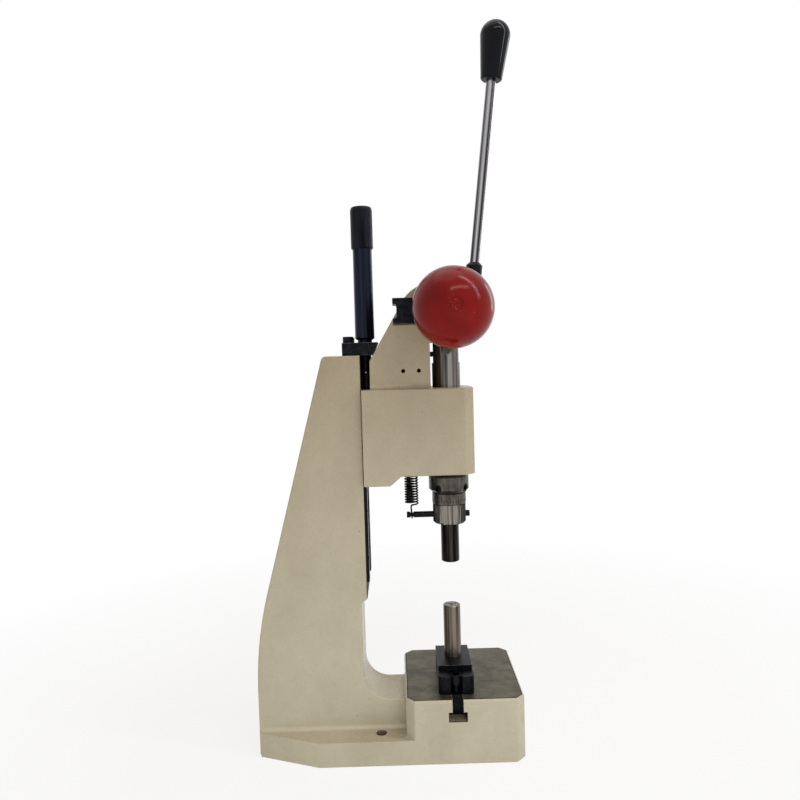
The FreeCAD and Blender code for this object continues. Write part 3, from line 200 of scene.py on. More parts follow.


# Cream machine enamel, sprayed: a semi-gloss skin with soft orange peel over the casting's
# broad waves, slightly cloudy, with grime in its low spots and a few small chips. From the
# throat upwards it is painted darker and browner, a painted shade on the upper parts.
enamel, tree, surface, place = finish("cream machine enamel on cast iron")
grid = add(tree, "ShaderNodeMapping", step(60, 60, 90), {"Vector": place})
cloud = add(tree, "ShaderNodeTexNoise", {"Scale": 1, "Detail": 4, "Roughness": 0.6}, {"Vector": grid})
shade = add(tree, "ShaderNodeValToRGB", {"stops": [(0.36, enamel_worn), (0.62, enamel_face)]},
            {"Fac": cloud})
grid = add(tree, "ShaderNodeMapping", step(17, 17, 14), {"Vector": place})
smear = add(tree, "ShaderNodeTexNoise", {"Scale": 1, "Detail": 6, "Roughness": 0.7}, {"Vector": grid})
dirt = add(tree, "ShaderNodeValToRGB", {"stops": [(0.60, 0.0), (0.80, 0.22)]}, {"Fac": smear})
stained = add(tree, "ShaderNodeMix", {"data_type": "RGBA", 7: colour(enamel_grime)}, {0: dirt, 6: shade})
grid = add(tree, "ShaderNodeMapping", step(27, 27, 27), {"Vector": place})
speck = add(tree, "ShaderNodeTexVoronoi", {"Scale": 1}, {"Vector": grid})
spot = add(tree, "ShaderNodeValToRGB", {"stops": [(0.020, 0.7), (0.034, 0.0)]}, {"Fac": speck})
marked = add(tree, "ShaderNodeMix", {"data_type": "RGBA", 7: colour(enamel_chip)},
             {0: spot, 6: stained.outputs[2]})
height = add(tree, "ShaderNodeSeparateXYZ", {}, {0: place}).outputs["Z"]
# Painted shade: the enamel darkens and browns between these two heights.
upper_shade_low, upper_shade_high = (mm / 1000 for mm in upper_shade_from_mm)
reached = add(tree, "ShaderNodeMapRange", {1: upper_shade_low, 2: upper_shade_high}, {0: height})
stain_and_shade = add(tree, "ShaderNodeMix",
              {"data_type": "RGBA", "blend_type": "MULTIPLY", 7: colour(enamel_upper_shade)},
              {0: reached, 6: marked.outputs[2]})
gloss = add(tree, "ShaderNodeValToRGB", {"stops": [(0.35, 0.22), (0.75, 0.40)]}, {"Fac": smear})
grid = add(tree, "ShaderNodeMapping", step(15, 15, 15), {"Vector": place})
waves = add(tree, "ShaderNodeTexNoise", {"Scale": 1, "Detail": 3}, {"Vector": grid})
broad = add(tree, "ShaderNodeBump", {"Strength": 0.25, "Distance": 0.0012}, {"Height": waves})
grid = add(tree, "ShaderNodeMapping", step(1.5, 1.5, 1.5), {"Vector": place})
peel = add(tree, "ShaderNodeTexNoise", {"Scale": 1, "Detail": 2}, {"Vector": grid})
skin = add(tree, "ShaderNodeBump", {"Strength": 0.12, "Distance": 0.0003},
           {"Height": peel, "Normal": broad})
set_up(surface, {}, {"Base Color": stain_and_shade.outputs[2], "Roughness": gloss, "Normal": skin})

# Ground iron of the table, tarnished: grey brown and mottled, with brown stains, faint
# grinding lines and a dull shine.
ground_iron, tree, surface, place = finish("ground cast iron, tarnished")
grid = add(tree, "ShaderNodeMapping", step(20, 20, 20), {"Vector": place})
blotch = add(tree, "ShaderNodeTexNoise", {"Scale": 1, "Detail": 6, "Roughness": 0.65}, {"Vector": grid})
tone = add(tree, "ShaderNodeValToRGB", {"stops": [(0.36, ground_dark), (0.66, ground_pale)]},
           {"Fac": blotch})
grid = add(tree, "ShaderNodeMapping", step(34, 21, 20), {"Vector": place})
stain = add(tree, "ShaderNodeTexNoise", {"Scale": 1, "Detail": 4, "Roughness": 0.6}, {"Vector": grid})
spread = add(tree, "ShaderNodeValToRGB", {"stops": [(0.52, 0.0), (0.72, 0.5)]}, {"Fac": stain})
stain_and_shade = add(tree, "ShaderNodeMix", {"data_type": "RGBA", 7: colour(iron_stain)}, {0: spread, 6: tone})
grid = add(tree, "ShaderNodeMapping", step(40, 0.8, 40), {"Vector": place})
lines = add(tree, "ShaderNodeTexNoise", {"Scale": 1, "Detail": 3}, {"Vector": grid})
gloss = add(tree, "ShaderNodeValToRGB", {"stops": [(0.3, 0.38), (0.7, 0.54)]}, {"Fac": lines})
scratch = add(tree, "ShaderNodeBump", {"Strength": 0.10, "Distance": 0.0002}, {"Height": lines})
set_up(surface, {"Metallic": 0.6},
       {"Base Color": stain_and_shade.outputs[2], "Roughness": gloss, "Normal": scratch})


def metal(name, grain, tones, shine_grain, shine, metallic=1.0, bump=None):
    # A metal in one of its finishes: its tone and its sheen vary in steps of these
    # millimetres, each as wide or as drawn out as the tool, the rubbing or the oil left it, or
    # as the painted reflection along some bars runs.
    # A bump gives the strength and the height, in millimetres, of marks left by a tool.
    made, tree, surface, place = finish(name)
    grid = add(tree, "ShaderNodeMapping", step(*grain), {"Vector": place})
    film = add(tree, "ShaderNodeTexNoise", {"Scale": 1, "Detail": 4, "Roughness": 0.6}, {"Vector": grid})
    tone = add(tree, "ShaderNodeValToRGB", {"stops": tones}, {"Fac": film})
    grid = add(tree, "ShaderNodeMapping", step(*shine_grain), {"Vector": place})
    marks = add(tree, "ShaderNodeTexNoise", {"Scale": 1, "Detail": 3}, {"Vector": grid})
    gloss = add(tree, "ShaderNodeValToRGB", {"stops": [(0.3, shine[0]), (0.7, shine[1])]}, {"Fac": marks})
    set_up(surface, {"Metallic": metallic}, {"Base Color": tone, "Roughness": gloss})
    if bump:
        cut = add(tree, "ShaderNodeBump", {"Strength": bump[0], "Distance": bump[1] / 1000},
                  {"Height": marks})
        set_up(surface, {}, {"Normal": cut})
    return made


# Bare iron left by the drill and the slot cutter, brown black and dull.
cut_iron = metal("bare cast iron, browned", (4, 4, 4), [(0.35, "#262119"), (0.7, "#544b3f")], (2, 2, 2),
                 (0.55, 0.65), 0.4, (0.2, 0.2))

# The slot's floor and the walls of the bolt holes are painted paler, a painted light on
# these shaded hollows. Round the table's top the first strip of the rounded edge is painted
# as a narrow dark brown line before the enamel begins, and the ways' seat is painted as dark.
painted_lit_iron = metal("bare cast iron, painted lighter", (6, 6, 6), [(0.35, "#6e6354"), (0.7, "#9a8d7a")], (2, 2, 2),
                   (0.55, 0.65), 0.1, (0.2, 0.2))
border_line = metal("brown border of the ground face", (5, 5, 5), [(0.35, "#17120d"), (0.7, "#30271f")],
                    (2, 2, 2), (0.60, 0.70), 0.2)

slot_low, slot_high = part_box("tee_nut")
table_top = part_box("die_block")[0].z
way_low, way_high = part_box("way_rail_near")
foot_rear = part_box("base_casting")[0].x

# Where the casting is bare or its edges are crisp, in metres.
slot_room = 0.002
slot_half = slot_high.x + slot_room
slot_top = table_top - 0.0002
slot_edge_depth = 0.019
hole_x, hole_y, hole_r = -0.073, 0.0366, 0.0053
seat_depth, seat_half, seat_below = 0.006, 0.0268, 0.001
ways_depth, ways_half, ways_below, gib_below = 0.012, 0.0265, 0.002, 0.03
bracket_seat_z, bracket_seat_half = 0.345, 0.02
rear_depth, rear_height = 0.006, 0.07
outline_within, level_within, border_depth = 0.0003, 0.0001, 0.0012

# How far a face looks up, as the height of its normal.
level_face, border_face, floor_face, wall_face = 0.995, 0.93, 0.9, 0.5


def in_slot(at):
    return abs(at.x) < slot_half and slot_low.z - slot_room < at.z < slot_top


def in_bolt_hole(at):
    return math.hypot(at.x - hole_x, abs(at.y) - hole_y) < hole_r


def in_way_seat(at):
    # The milled seat of the rails stays bare and is painted dark brown.
    return (at.x > way_low.x - seat_depth and abs(at.y) < seat_half
            and at.z > way_low.z - seat_below)


def casting_edges(edge):
    # Full rounding round the table's top, less along cast edges, least at cut ones.
    start, end = (vert.co for vert in edge.verts)
    at = (start + end) / 2
    by_ways = at.x > way_low.x - ways_depth
    machined = by_ways and abs(at.y) < ways_half and at.z > way_low.z - ways_below
    by_gib = by_ways and at.y > ways_half and at.z > way_low.z - gib_below
    under_bracket = at.z > bracket_seat_z and abs(at.y) < bracket_seat_half
    if machined or under_bracket or by_gib or in_bolt_hole(at):
        return 0.0
    at_rear = at.x < foot_rear + rear_depth and at.z < rear_height
    at_slot = (abs(at.x) < slot_half and at.z > slot_low.z - slot_room
               and abs(at.z - table_top) < slot_edge_depth)
    if at_rear or at_slot:
        return slot_edge_mm / table_edge_mm
    if abs(at.z - table_top) < outline_within and abs(start.z - end.z) < level_within:
        return 1.0
    return cast_edge_mm / table_edge_mm


looks = [enamel, ground_iron, cut_iron, painted_lit_iron, border_line]
casting = with_broken_edges("base_casting", "frame_body", table_edge_mm, looks, "frame",
                            casting_edges, segments=4)
# Each face takes its finish; the slot's floor and the bolt holes' walls take the paler iron as painted
# light.
for face in casting.data.polygons:
    facing_up = face.normal.z
    look = enamel
    if abs(face.center.z - table_top) < border_depth and facing_up > border_face:
        look = ground_iron if facing_up > level_face else border_line
    elif in_slot(face.center):
        look = painted_lit_iron if facing_up > floor_face else cut_iron
    elif in_bolt_hole(face.center) and abs(facing_up) < wall_face:
        look = painted_lit_iron
    elif in_way_seat(face.center):
        look = border_line
    face.material_index = looks.index(look)

# ---- Ways of the column ----
# Two blacked steel rails form a dovetail on the column's front. Cap screws hold them,
# and a slim gib with three set screws takes up the play on the operator's right.

oxide_deep = "#17181c"
oxide_thin = "#2c2d32"


def wear(nodes_to_dress, material):
    # The nodes keep their solids and take this finish.
    for node in nodes_to_dress:
        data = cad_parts[node].data
        data.materials.clear()
        data.materials.append(material)


# Turned or milled tool steel under a film of old oil: grey brown, cloudy, low sheen, with
# the cutter's rings across it.
tool_steel = metal("oiled tool steel, turned", (7, 7, 12), [(0.35, "#3c3833"), (0.7, "#6a655c")],
                   (14, 14, 0.6), (0.30, 0.42), 0.9, (0.08, 0.1))

# Black oxide on steel: a thin oiled skin, nearly black, that shines dull and wears to
# dark grey where hands and tools rub.
black_oxide = metal("black oxide on steel", (3, 3, 3), [(0.40, oxide_deep), (0.85, oxide_thin)],
                    (0.7, 0.7, 0.7), (0.46, 0.36), 1.0, (0.06, 0.1))

# The same skin on the rounded edges, grey both as rubbed through to steel and as a painted
# highlight along them.
rubbed_and_highlit_edge = metal("rubbed and highlit edge of black oxide", (3, 3, 3), [(0.35, "#26282c"), (0.7, "#525356")],
                    (3, 3, 3), (0.38, 0.30))

wear(["gib_strip"], tool_steel)
wear(["way_rail_near", "way_rail_far", "way_screws", "gib_screws"], black_oxide)

# ---- Height spindle and its bracket ----
# A black plate on the column's top holds the spindle that lifts and lowers the head. The
# spindle is threaded below, has a bright ring and a black collar under the plate, and a
# long turned handle with a knurled grip above it.

thread_pitch_mm = 2.0
thread_depth_mm = 0.8
thread_step = 0.00025
thread_lead_in = 0.0012
ring_lip = 0.0007
plate_gap = 0.0001
neck_r = 0.004
screw_sides = 48
knurl_count = 56
knurl_depth_mm = 0.22
knurl_depth_share = 0.9
knurl_lean_degrees = 30
knurl_step = 0.0005
knurl_from, knurl_short_of_top = 0.0012, 0.0045
grip_lip, grip_shoulder, grip_flat_share = 0.0007, 0.003, 0.7
grip_crown = ((0.0004, 0.0022), (0.0007, 0.0010), (0.0016, 0.0003))
grip_sides = 6 * knurl_count

# Its rounded edges take the grey rubbed finish: wear and a painted highlight.
with_broken_edges("spindle_bracket", "bracket_plate", 0.5, [black_oxide, rubbed_and_highlit_edge], "frame",
                  edge_wear_and_light=1)
wear(["bracket_screws"], black_oxide)

# Bright ground steel: nearly white where clean, with darker streaks of oil along the bar
# and fine grinding rings.
bright_steel = metal("bright ground steel", (4, 4, 200), [(0.38, "#56514d"), (0.62, "#a19c98")],
                     (16, 16, 0.5), (0.16, 0.26))
wear(["thrust_ring"], bright_steel)


def revolved(rings, count, axis_place=(0, 0), radius_at=None):
    # A closed round solid from (radius, height) pairs in metres. Another rule may give
    # the radius at each angle and height.
    solid = bmesh.new()
    rows = []
    for radius, height in rings:
        if radius <= 0:
            rows.append([solid.verts.new((axis_place[0], axis_place[1], height))])
            continue
        row = []
        for i in range(count):
            angle = 2 * math.pi * i / count
            out = radius_at(radius, height, angle) if radius_at else radius
            row.append(solid.verts.new((axis_place[0] + out * math.cos(angle),
                                        axis_place[1] + out * math.sin(angle), height)))
        rows.append(row)
    for low, high in zip(rows, rows[1:]):
        for i in range(count):
            j = (i + 1) % count
            corners = [low[i % len(low)], low[j % len(low)], high[j % len(high)], high[i % len(high)]]
            solid.faces.new(list(dict.fromkeys(corners)))
    for row, turn in ((rows[0], -1), (rows[-1], 1)):
        if len(row) > 1:
            solid.faces.new(row[::turn])
    bmesh.ops.recalc_face_normals(solid, faces=solid.faces)
    return solid


low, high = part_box("height_spindle")
ring_low, ring_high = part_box("thrust_ring")
collar_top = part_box("spindle_bracket")[0].z - plate_gap
spindle_x = (low.x + high.x) / 2
thread_r = (ring_high.x - ring_low.x) / 2 - ring_lip
collar_r = (high.x - low.x) / 2


def thread_radius(radius, height, angle):
    # The screw's flanks, below the bright ring only.
    if height > ring_low.z or radius < thread_r:
        return radius
    turn = (height * 1000 / thread_pitch_mm - angle / (2 * math.pi)) % 1
    return radius - thread_depth_mm / 1000 * abs(2 * turn - 1)


# The thread is left as cut: dark brown steel with old grease in its flanks.
greased = metal("cut steel thread, greased", (3, 3, 5), [(0.35, "#2a2422"), (0.7, "#57504c")], (2, 2, 2),
                (0.26, 0.34), 0.9)

heights = [low.z + i * thread_step for i in range(int((ring_low.z - low.z) / thread_step))]
outline = [(thread_r - thread_lead_in, low.z)] + [(thread_r, z) for z in heights]
outline += [(thread_r, ring_high.z), (collar_r, ring_high.z), (collar_r, collar_top),
            (neck_r, collar_top), (neck_r, high.z)]
screw = piece_from(revolved(outline, screw_sides, (spindle_x, 0), thread_radius), "spindle_screw",
                   [greased, black_oxide], "height_spindle")
for face in screw.data.polygons:
    face.material_index = 1 if face.center.z > ring_high.z else 0
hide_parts("height_spindle")

# The handle is turned steel, blued black, smooth enough to show one long soft shine, with
# paler streaks along it painted in as sheen.
blued = metal("blued turned steel", (3.5, 3.5, 160), [(0.35, "#0e1017"), (0.70, "#252a36")],
              (3.5, 3.5, 160), (0.20, 0.30))
wear(["spindle_handle"], blued)

# The grip is the same steel, dull black where the knurling holds grease.
knurled = metal("knurled blued steel", (4, 4, 60), [(0.35, "#131418"), (0.70, "#24272d")], (2, 2, 2),
                (0.34, 0.42))

grip_low, grip_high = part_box("handle_grip")
grip_r = (grip_high.x - grip_low.x) / 2
knurled_length = grip_high.z - grip_low.z - knurl_short_of_top
grip_z = [grip_low.z + knurl_from + i * knurl_step for i in range(int(knurled_length / knurl_step))]


def knurl_radius(radius, height, angle):
    # Crossed grooves that lean to the axis leave small pointed diamonds.
    if radius < grip_r:
        return radius
    lift = height / radius * math.tan(math.radians(knurl_lean_degrees))
    one = abs(((angle + lift) * knurl_count / (2 * math.pi)) % 1 - 0.5)
    other = abs(((angle - lift) * knurl_count / (2 * math.pi)) % 1 - 0.5)
    return radius - knurl_depth_mm / 1000 * 2 * max(one, other) * knurl_depth_share


outline = [(neck_r + grip_shoulder, grip_low.z), (grip_r - grip_lip, grip_low.z)]
outline += [(grip_r, z) for z in grip_z]
outline += [(grip_r - inwards, grip_high.z - down) for inwards, down in grip_crown]
outline += [(grip_r * grip_flat_share, grip_high.z), (0, grip_high.z)]
grip = piece_from(revolved(outline, grip_sides, (spindle_x, 0), knurl_radius), "knurled_grip",
                  [knurled], "height_spindle", 60)
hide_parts("handle_grip")

# ---- Head casting ----
# The sliding head is a second iron casting in the same enamel: a block bored for the ram
# and a tower whose two cheeks carry the cross shaft. Bronze bushes line its bores.

ram_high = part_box("ram")[1]
shaft_low, shaft_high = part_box("cross_shaft")
spring_low, spring_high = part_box("return_spring")
head_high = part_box("head_casting")[1]
shaft_z = (shaft_low.z + shaft_high.z) / 2
spring_x = (spring_low.x + spring_high.x) / 2

# Where the head's edges stay crisp, in metres: round its bores as (x, y, radius), round
# the shaft and the pin holes in the tower's side, and inside the crank's slot.
upright_bores = ((0, 0, ram_high.x + 0.004), (spindle_x, 0, 0.010), (spring_x, 0, 0.011))
shaft_rim_r = 0.0125
pin_holes = ((-0.0425, 0.371), (-0.0275, 0.371))
pin_hole_r, pin_rim_r = 0.0021, 0.0035
dovetail_x = way_high.x + 0.0006
crank_slot_half, crank_slot_depth = 0.008, 0.03

# Round the tower's foot, inside the block's sides, runs a fillet that has room for little
# rounding.
foot_z, foot_x, foot_share = (0.3535, 0.3625), (-0.0765, -0.0145), 0.15
foot_half = head_high.y - 0.0005


def head_edges(edge):
    # Cast edges are rounded in full; bored holes, pin holes and the dovetail stay crisp.
    at = (edge.verts[0].co + edge.verts[1].co) / 2
    if foot_z[0] < at.z < foot_z[1] and foot_x[0] < at.x < foot_x[1] and abs(at.y) < foot_half:
        return foot_share
    bores = [math.hypot(at.x - x, at.y - y) < radius for x, y, radius in upright_bores]
    bores += [math.hypot(at.x - x, at.z - z) < pin_rim_r for x, z in pin_holes]
    bores += [math.hypot(at.x, at.z - shaft_z) < shaft_rim_r]
    inside = abs(at.y) < crank_slot_half and at.z > ram_high.z - crank_slot_depth
    return 0.0 if any(bores) or at.x < dovetail_x or inside else 1.0


looks = [enamel, cut_iron]
head = with_broken_edges("head_casting", "head_body", cast_edge_mm, looks, "head",
                         head_edges)
for face in head.data.polygons:
    if any(math.hypot(face.center.x - x, face.center.z - z) < pin_hole_r for x, z in pin_holes):
        face.material_index = looks.index(cut_iron)

# Cast bearing bronze, turned: dull gold brown.
bronze = metal("bearing bronze, turned", (5, 5, 5), [(0.3, "#6f532d"), (0.7, "#8a6a3c")], (9, 0.6, 9),
               (0.42, 0.30), 0.9)
wear(["spindle_nut", "ram_bushes", "shaft_bushes"], bronze)
wear(["guide_screw"], black_oxide)

# ---- Cross shaft, crank and link ----
# The lever turns this shaft. A keyed crank in the tower's slot drives the link, and the
# link pushes the ram. Shaft and pins are ground steel, crank and link are milled.

wear(["cross_shaft", "crank_key", "crank_pin", "spring_anchor"], bright_steel)
wear(["crank_webs", "toggle_link"], tool_steel)
# The pin's rounded edge is painted black, a painted shadow round its end.
with_broken_edges("wrist_pin", "wrist_pin_body", 1.0, [tool_steel, black_oxide], "ram",
                  edge_wear_and_light=1)

# ---- Lever with its hub and knob ----
# A blackened hub is clamped on the shaft's end at the operator's right. A ground rod is
# driven into its socket, and a moulded black knob is screwed on the rod's top.

rod_low, rod_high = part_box("lever_rod")
rod_run = rod_high.x - rod_low.x - (rod_high.y - rod_low.y)
rod_lean = math.atan(rod_run / (rod_high.z - rod_low.z))

# Its rounded edges take the grey rubbed finish: wear and a painted highlight.
with_broken_edges("lever_hub", "lever_hub_body", 0.7, [black_oxide, rubbed_and_highlit_edge], "lever",
                  edge_wear_and_light=1)
wear(["hub_screw"], black_oxide)

# Bright drawn bar: silvery, with dark and pale bands that run along its length, a painted
# reflection.
drawn_bar = metal("bright drawn steel bar", (3.6, 3.6, 900, rod_lean),
                  [(0.40, "#353336"), (0.60, "#b9b6b9")], (2.6, 2.6, 900, rod_lean), (0.30, 0.18))
wear(["lever_rod"], drawn_bar)

# Moulded phenolic: deep black and glossy, with slight waves from the mould.
phenolic, tree, surface, place = finish("black phenolic, moulded")
grid = add(tree, "ShaderNodeMapping", step(12, 12, 12), {"Vector": place})
flow = add(tree, "ShaderNodeTexNoise", {"Scale": 1, "Detail": 2}, {"Vector": grid})
tone = add(tree, "ShaderNodeValToRGB", {"stops": [(0.3, "#04050a"), (0.8, "#0b0e17")]}, {"Fac": flow})
gloss = add(tree, "ShaderNodeValToRGB", {"stops": [(0.3, 0.07), (0.7, 0.13)]}, {"Fac": flow})
dent = add(tree, "ShaderNodeBump", {"Strength": 0.06, "Distance": 0.0006}, {"Height": flow})
set_up(surface, {"Specular IOR Level": 0.13}, {"Base Color": tone, "Roughness": gloss, "Normal": dent})
wear(["lever_knob"], phenolic)

# ---- Ball and stop block ----
# On the operator's left the shaft carries a channel-shaped black block that limits the
# swing, and a large red ball of moulded plastic as a counterweight and hand rest.

ball_red = "#84100c"
ball_shade = "#720b08"
ball_scuff = "#b3574c"
gate_mm = (5.0, 0.6, 0.22)
gate_lip_width_share, gate_lip_depth_share = 0.5, 0.3
scuffed_mm = 11.0
ball_rings = 60
ball_sides = 128

ball_low, ball_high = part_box("ball_knob")
ball_r = (ball_high.x - ball_low.x) / 2
ball_x, ball_z = (ball_low.x + ball_high.x) / 2, (ball_low.z + ball_high.z) / 2
pole = (ball_x, ball_low.y, ball_z)

# Moulded red plastic: glossy and a little cloudy, with fine pale scuffs, most of them
# round the mark of the gate on its outer pole, where it is set down and handled.
red_plastic, tree, surface, place = finish("red phenolic, moulded")
grid = add(tree, "ShaderNodeMapping", step(22, 22, 22), {"Vector": place})
cloud = add(tree, "ShaderNodeTexNoise", {"Scale": 1, "Detail": 3}, {"Vector": grid})
shade = add(tree, "ShaderNodeValToRGB", {"stops": [(0.35, ball_shade), (0.65, ball_red)]}, {"Fac": cloud})
grid = add(tree, "ShaderNodeMapping", step(5, 5, 5), {"Vector": place})
scuff = add(tree, "ShaderNodeTexNoise", {"Scale": 1, "Detail": 6, "Roughness": 0.75}, {"Vector": grid})
pale = add(tree, "ShaderNodeValToRGB", {"stops": [(0.64, 0.0), (0.72, 0.45)]}, {"Fac": scuff})
away = add(tree, "ShaderNodeVectorMath", {"operation": "DISTANCE", 1: pole}, {0: place}).outputs["Value"]
near = add(tree, "ShaderNodeMapRange", {2: scuffed_mm / 1000, 3: 1.0, 4: 0.0}, {0: away})
grid = add(tree, "ShaderNodeMapping", step(1.8, 1.8, 1.8), {"Vector": place})
nick = add(tree, "ShaderNodeTexNoise", {"Scale": 1, "Detail": 4, "Roughness": 0.7}, {"Vector": grid})
rub = add(tree, "ShaderNodeValToRGB", {"stops": [(0.56, 0.0), (0.68, 0.8)]}, {"Fac": nick})
handled = add(tree, "ShaderNodeMath", {"operation": "MULTIPLY"}, {0: near, 1: rub})
marks = add(tree, "ShaderNodeMath", {"operation": "MAXIMUM"}, {0: handled, 1: pale})
scuffed = add(tree, "ShaderNodeMix", {"data_type": "RGBA", 7: colour(ball_scuff)}, {0: marks, 6: shade})
gloss = add(tree, "ShaderNodeValToRGB", {"stops": [(0.45, 0.13), (0.72, 0.30)]}, {"Fac": scuff})
ripple = add(tree, "ShaderNodeBump", {"Strength": 0.05, "Distance": 0.0005}, {"Height": cloud})
set_up(surface, {"Specular IOR Level": 0.13},
       {"Base Color": scuffed.outputs[2], "Roughness": gloss, "Normal": ripple})

flat_end = ball_high.y - ball_low.y - ball_r
gate_r, gate_w, gate_d = (mm / 1000 for mm in gate_mm)
gate_rim = gate_r + gate_w
outline = [(0, ball_r - gate_d), (gate_r - gate_w, ball_r - gate_d),
           (gate_r - gate_w * gate_lip_width_share, ball_r - gate_d * gate_lip_depth_share),
           (gate_r, math.sqrt(ball_r ** 2 - gate_r ** 2) - gate_d),
           (gate_rim, math.sqrt(ball_r ** 2 - gate_rim ** 2))]
start = math.asin(gate_rim / ball_r)
stop = math.acos(-flat_end / ball_r)
for i in range(1, ball_rings + 1):
    lean = start + (stop - start) * i / ball_rings
    outline.append((ball_r * math.sin(lean), ball_r * math.cos(lean)))
outline.append((0, -flat_end))
solid = revolved(outline[::-1], ball_sides)
bmesh.ops.transform(solid, matrix=Matrix.Rotation(math.radians(90), 4, "X"), verts=solid.verts)
bmesh.ops.translate(solid, verts=solid.verts, vec=(ball_x, ball_low.y + ball_r, ball_z))
bmesh.ops.recalc_face_normals(solid, faces=solid.faces)
ball = piece_from(solid, "red_ball", [red_plastic], "lever", 50)
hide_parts("ball_knob")

# Its rounded edges take the grey rubbed finish: wear and a painted highlight.
with_broken_edges("stop_block", "stop_block_body", 0.6, [black_oxide, rubbed_and_highlit_edge], "lever",
                  edge_wear_and_light=1)
wear(["block_screw"], black_oxide)

# ---- Ram, collar and dial ----
# The ram is a ground steel bar. Below the head it carries a turned clamp collar with four
# set screws, and a graduated dial ring that turns on its foot for fine depth.

dial_count = 36
numbered_every = 6
tick_mm = (0.85, 2.3, 0.12)
long_tick_mm = 3.3
number_mm = 2.2
number_size_share = 1.35
number_raised, number_thickened, number_gap = 0.00006, 0.00005, 0.0006
tick_above_foot = 0.0030

# The ram's oiled bar: brown grey, with wide pale and dark bands drawn out along it that are
# painted reflection.
oiled_bar = metal("ground steel bar, oiled", (5, 5, 400),
                  [(0.40, "#35302d"), (0.50, "#5b5551"), (0.60, "#8d8884")], (5, 5, 400), (0.30, 0.20))
wear(["ram"], oiled_bar)
wear(["clamp_collar", "dial_ring"], tool_steel)
wear(["collar_screws"], black_oxide)

# Graduations are cut in and filled with black paint, which is worn thin in places.
ink = metal("black filled graduation", (2, 2, 2), [(0.4, "#0e0c0a"), (0.75, "#211d19")], (2, 2, 2),
            (0.65, 0.5), 0.0)

# The graduations, as one instanced mark for each step round the dial.
marks_tree = bpy.data.node_groups.new("dial graduations", "GeometryNodeTree")
sockets = marks_tree.interface
sockets.new_socket("Geometry", in_out="OUTPUT", socket_type="NodeSocketGeometry")
for name, kind in (("Count", "NodeSocketInt"), ("Radius", "NodeSocketFloat"),
                   ("Width", "NodeSocketFloat"), ("Length", "NodeSocketFloat"),
                   ("Depth", "NodeSocketFloat"), ("Foot", "NodeSocketFloat"),
                   ("Ink", "NodeSocketMaterial")):
    sockets.new_socket(name, in_out="INPUT", socket_type=kind)
given = add(marks_tree, "NodeGroupInput").outputs
circle = add(marks_tree, "GeometryNodeMeshCircle", {},
             {"Vertices": given["Count"], "Radius": given["Radius"]})
size = add(marks_tree, "ShaderNodeCombineXYZ", {},
           {0: given["Depth"], 1: given["Width"], 2: given["Length"]})
bar = add(marks_tree, "GeometryNodeMeshCube", {}, {"Size": size.outputs[0]})
where = add(marks_tree, "GeometryNodeInputPosition")
facing = add(marks_tree, "FunctionNodeAlignRotationToVector", {"axis": "X"},
             {"Vector": where.outputs[0]})
placed = add(marks_tree, "GeometryNodeInstanceOnPoints", {},
             {"Points": circle.outputs[0], "Instance": bar.outputs[0], "Rotation": facing.outputs[0]})
half = add(marks_tree, "ShaderNodeMath", {"operation": "MULTIPLY", 1: 0.5}, {0: given["Length"]})
rise = add(marks_tree, "ShaderNodeMath", {"operation": "ADD"}, {0: given["Foot"], 1: half.outputs[0]})
lift = add(marks_tree, "ShaderNodeCombineXYZ", {}, {2: rise.outputs[0]})
moved = add(marks_tree, "GeometryNodeTransform", {},
            {"Geometry": placed.outputs[0], "Translation": lift.outputs[0]})
solid_marks = add(marks_tree, "GeometryNodeRealizeInstances", {}, {"Geometry": moved.outputs[0]})
inked = add(marks_tree, "GeometryNodeSetMaterial", {},
            {"Geometry": solid_marks.outputs[0], "Material": given["Ink"]})
add(marks_tree, "NodeGroupOutput", {}, {0: inked.outputs[0]})

dial_low, dial_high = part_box("dial_ring")
dial_r = (dial_high.x - dial_low.x) / 2
scribe_z = dial_low.z + tick_above_foot
numbered = dial_count // numbered_every


def graduated(name, tree_used, values, body):
    # A piece whose mesh is what the node tree gives for these named inputs.
    made = bpy.data.objects.new(name, bpy.data.meshes.new(name))
    bpy.context.scene.collection.objects.link(made)
    work = made.modifiers.new(name, "NODES")
    work.node_group = tree_used
    for item in tree_used.interface.items_tree:
        if item.in_out == "INPUT" and item.name in values:
            work[item.identifier] = values[item.name]
    settled(made)
    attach(made, body)
    return made


shared = {"Radius": dial_r, "Width": tick_mm[0] / 1000, "Depth": tick_mm[2] / 1000,
          "Foot": scribe_z, "Ink": ink}
graduated("dial_marks", marks_tree, dict(shared, Count=dial_count, Length=tick_mm[1] / 1000),
          "dial")
graduated("dial_long_marks", marks_tree, dict(shared, Count=numbered, Length=long_tick_mm / 1000),
          "dial")

# Numbers stamped and filled above the long marks.
digits = bmesh.new()
for i in range(numbered):
    angle = 2 * math.pi * i / numbered
    letters = bpy.data.curves.new("dial number", "FONT")
    letters.body = str(i)
    letters.size = number_mm / 1000 * number_size_share
    letters.align_x = "CENTER"
    letters.extrude = number_raised
    letters.offset = number_thickened
    sign = bpy.data.objects.new("dial number", letters)
    bpy.context.scene.collection.objects.link(sign)
    bpy.context.view_layer.update()
    flat = bpy.data.meshes.new_from_object(sign.evaluated_get(bpy.context.evaluated_depsgraph_get()))
    bpy.data.objects.remove(sign)
    for vert in flat.vertices:
        bend = vert.co.x / dial_r
        out = dial_r + vert.co.z
        up = vert.co.y + scribe_z + long_tick_mm / 1000 + number_gap
        vert.co = (out * math.cos(angle + bend), out * math.sin(angle + bend), up)
    digits.from_mesh(flat)
piece_from(digits, "dial_numbers", [ink], "dial", 30)

# ---- Punch holder and punch ----
# A fluted steel holder with two milled flats slides a little on the ram's foot. A black
# pin crosses it and takes the return spring, and the round punch sits in its bore.

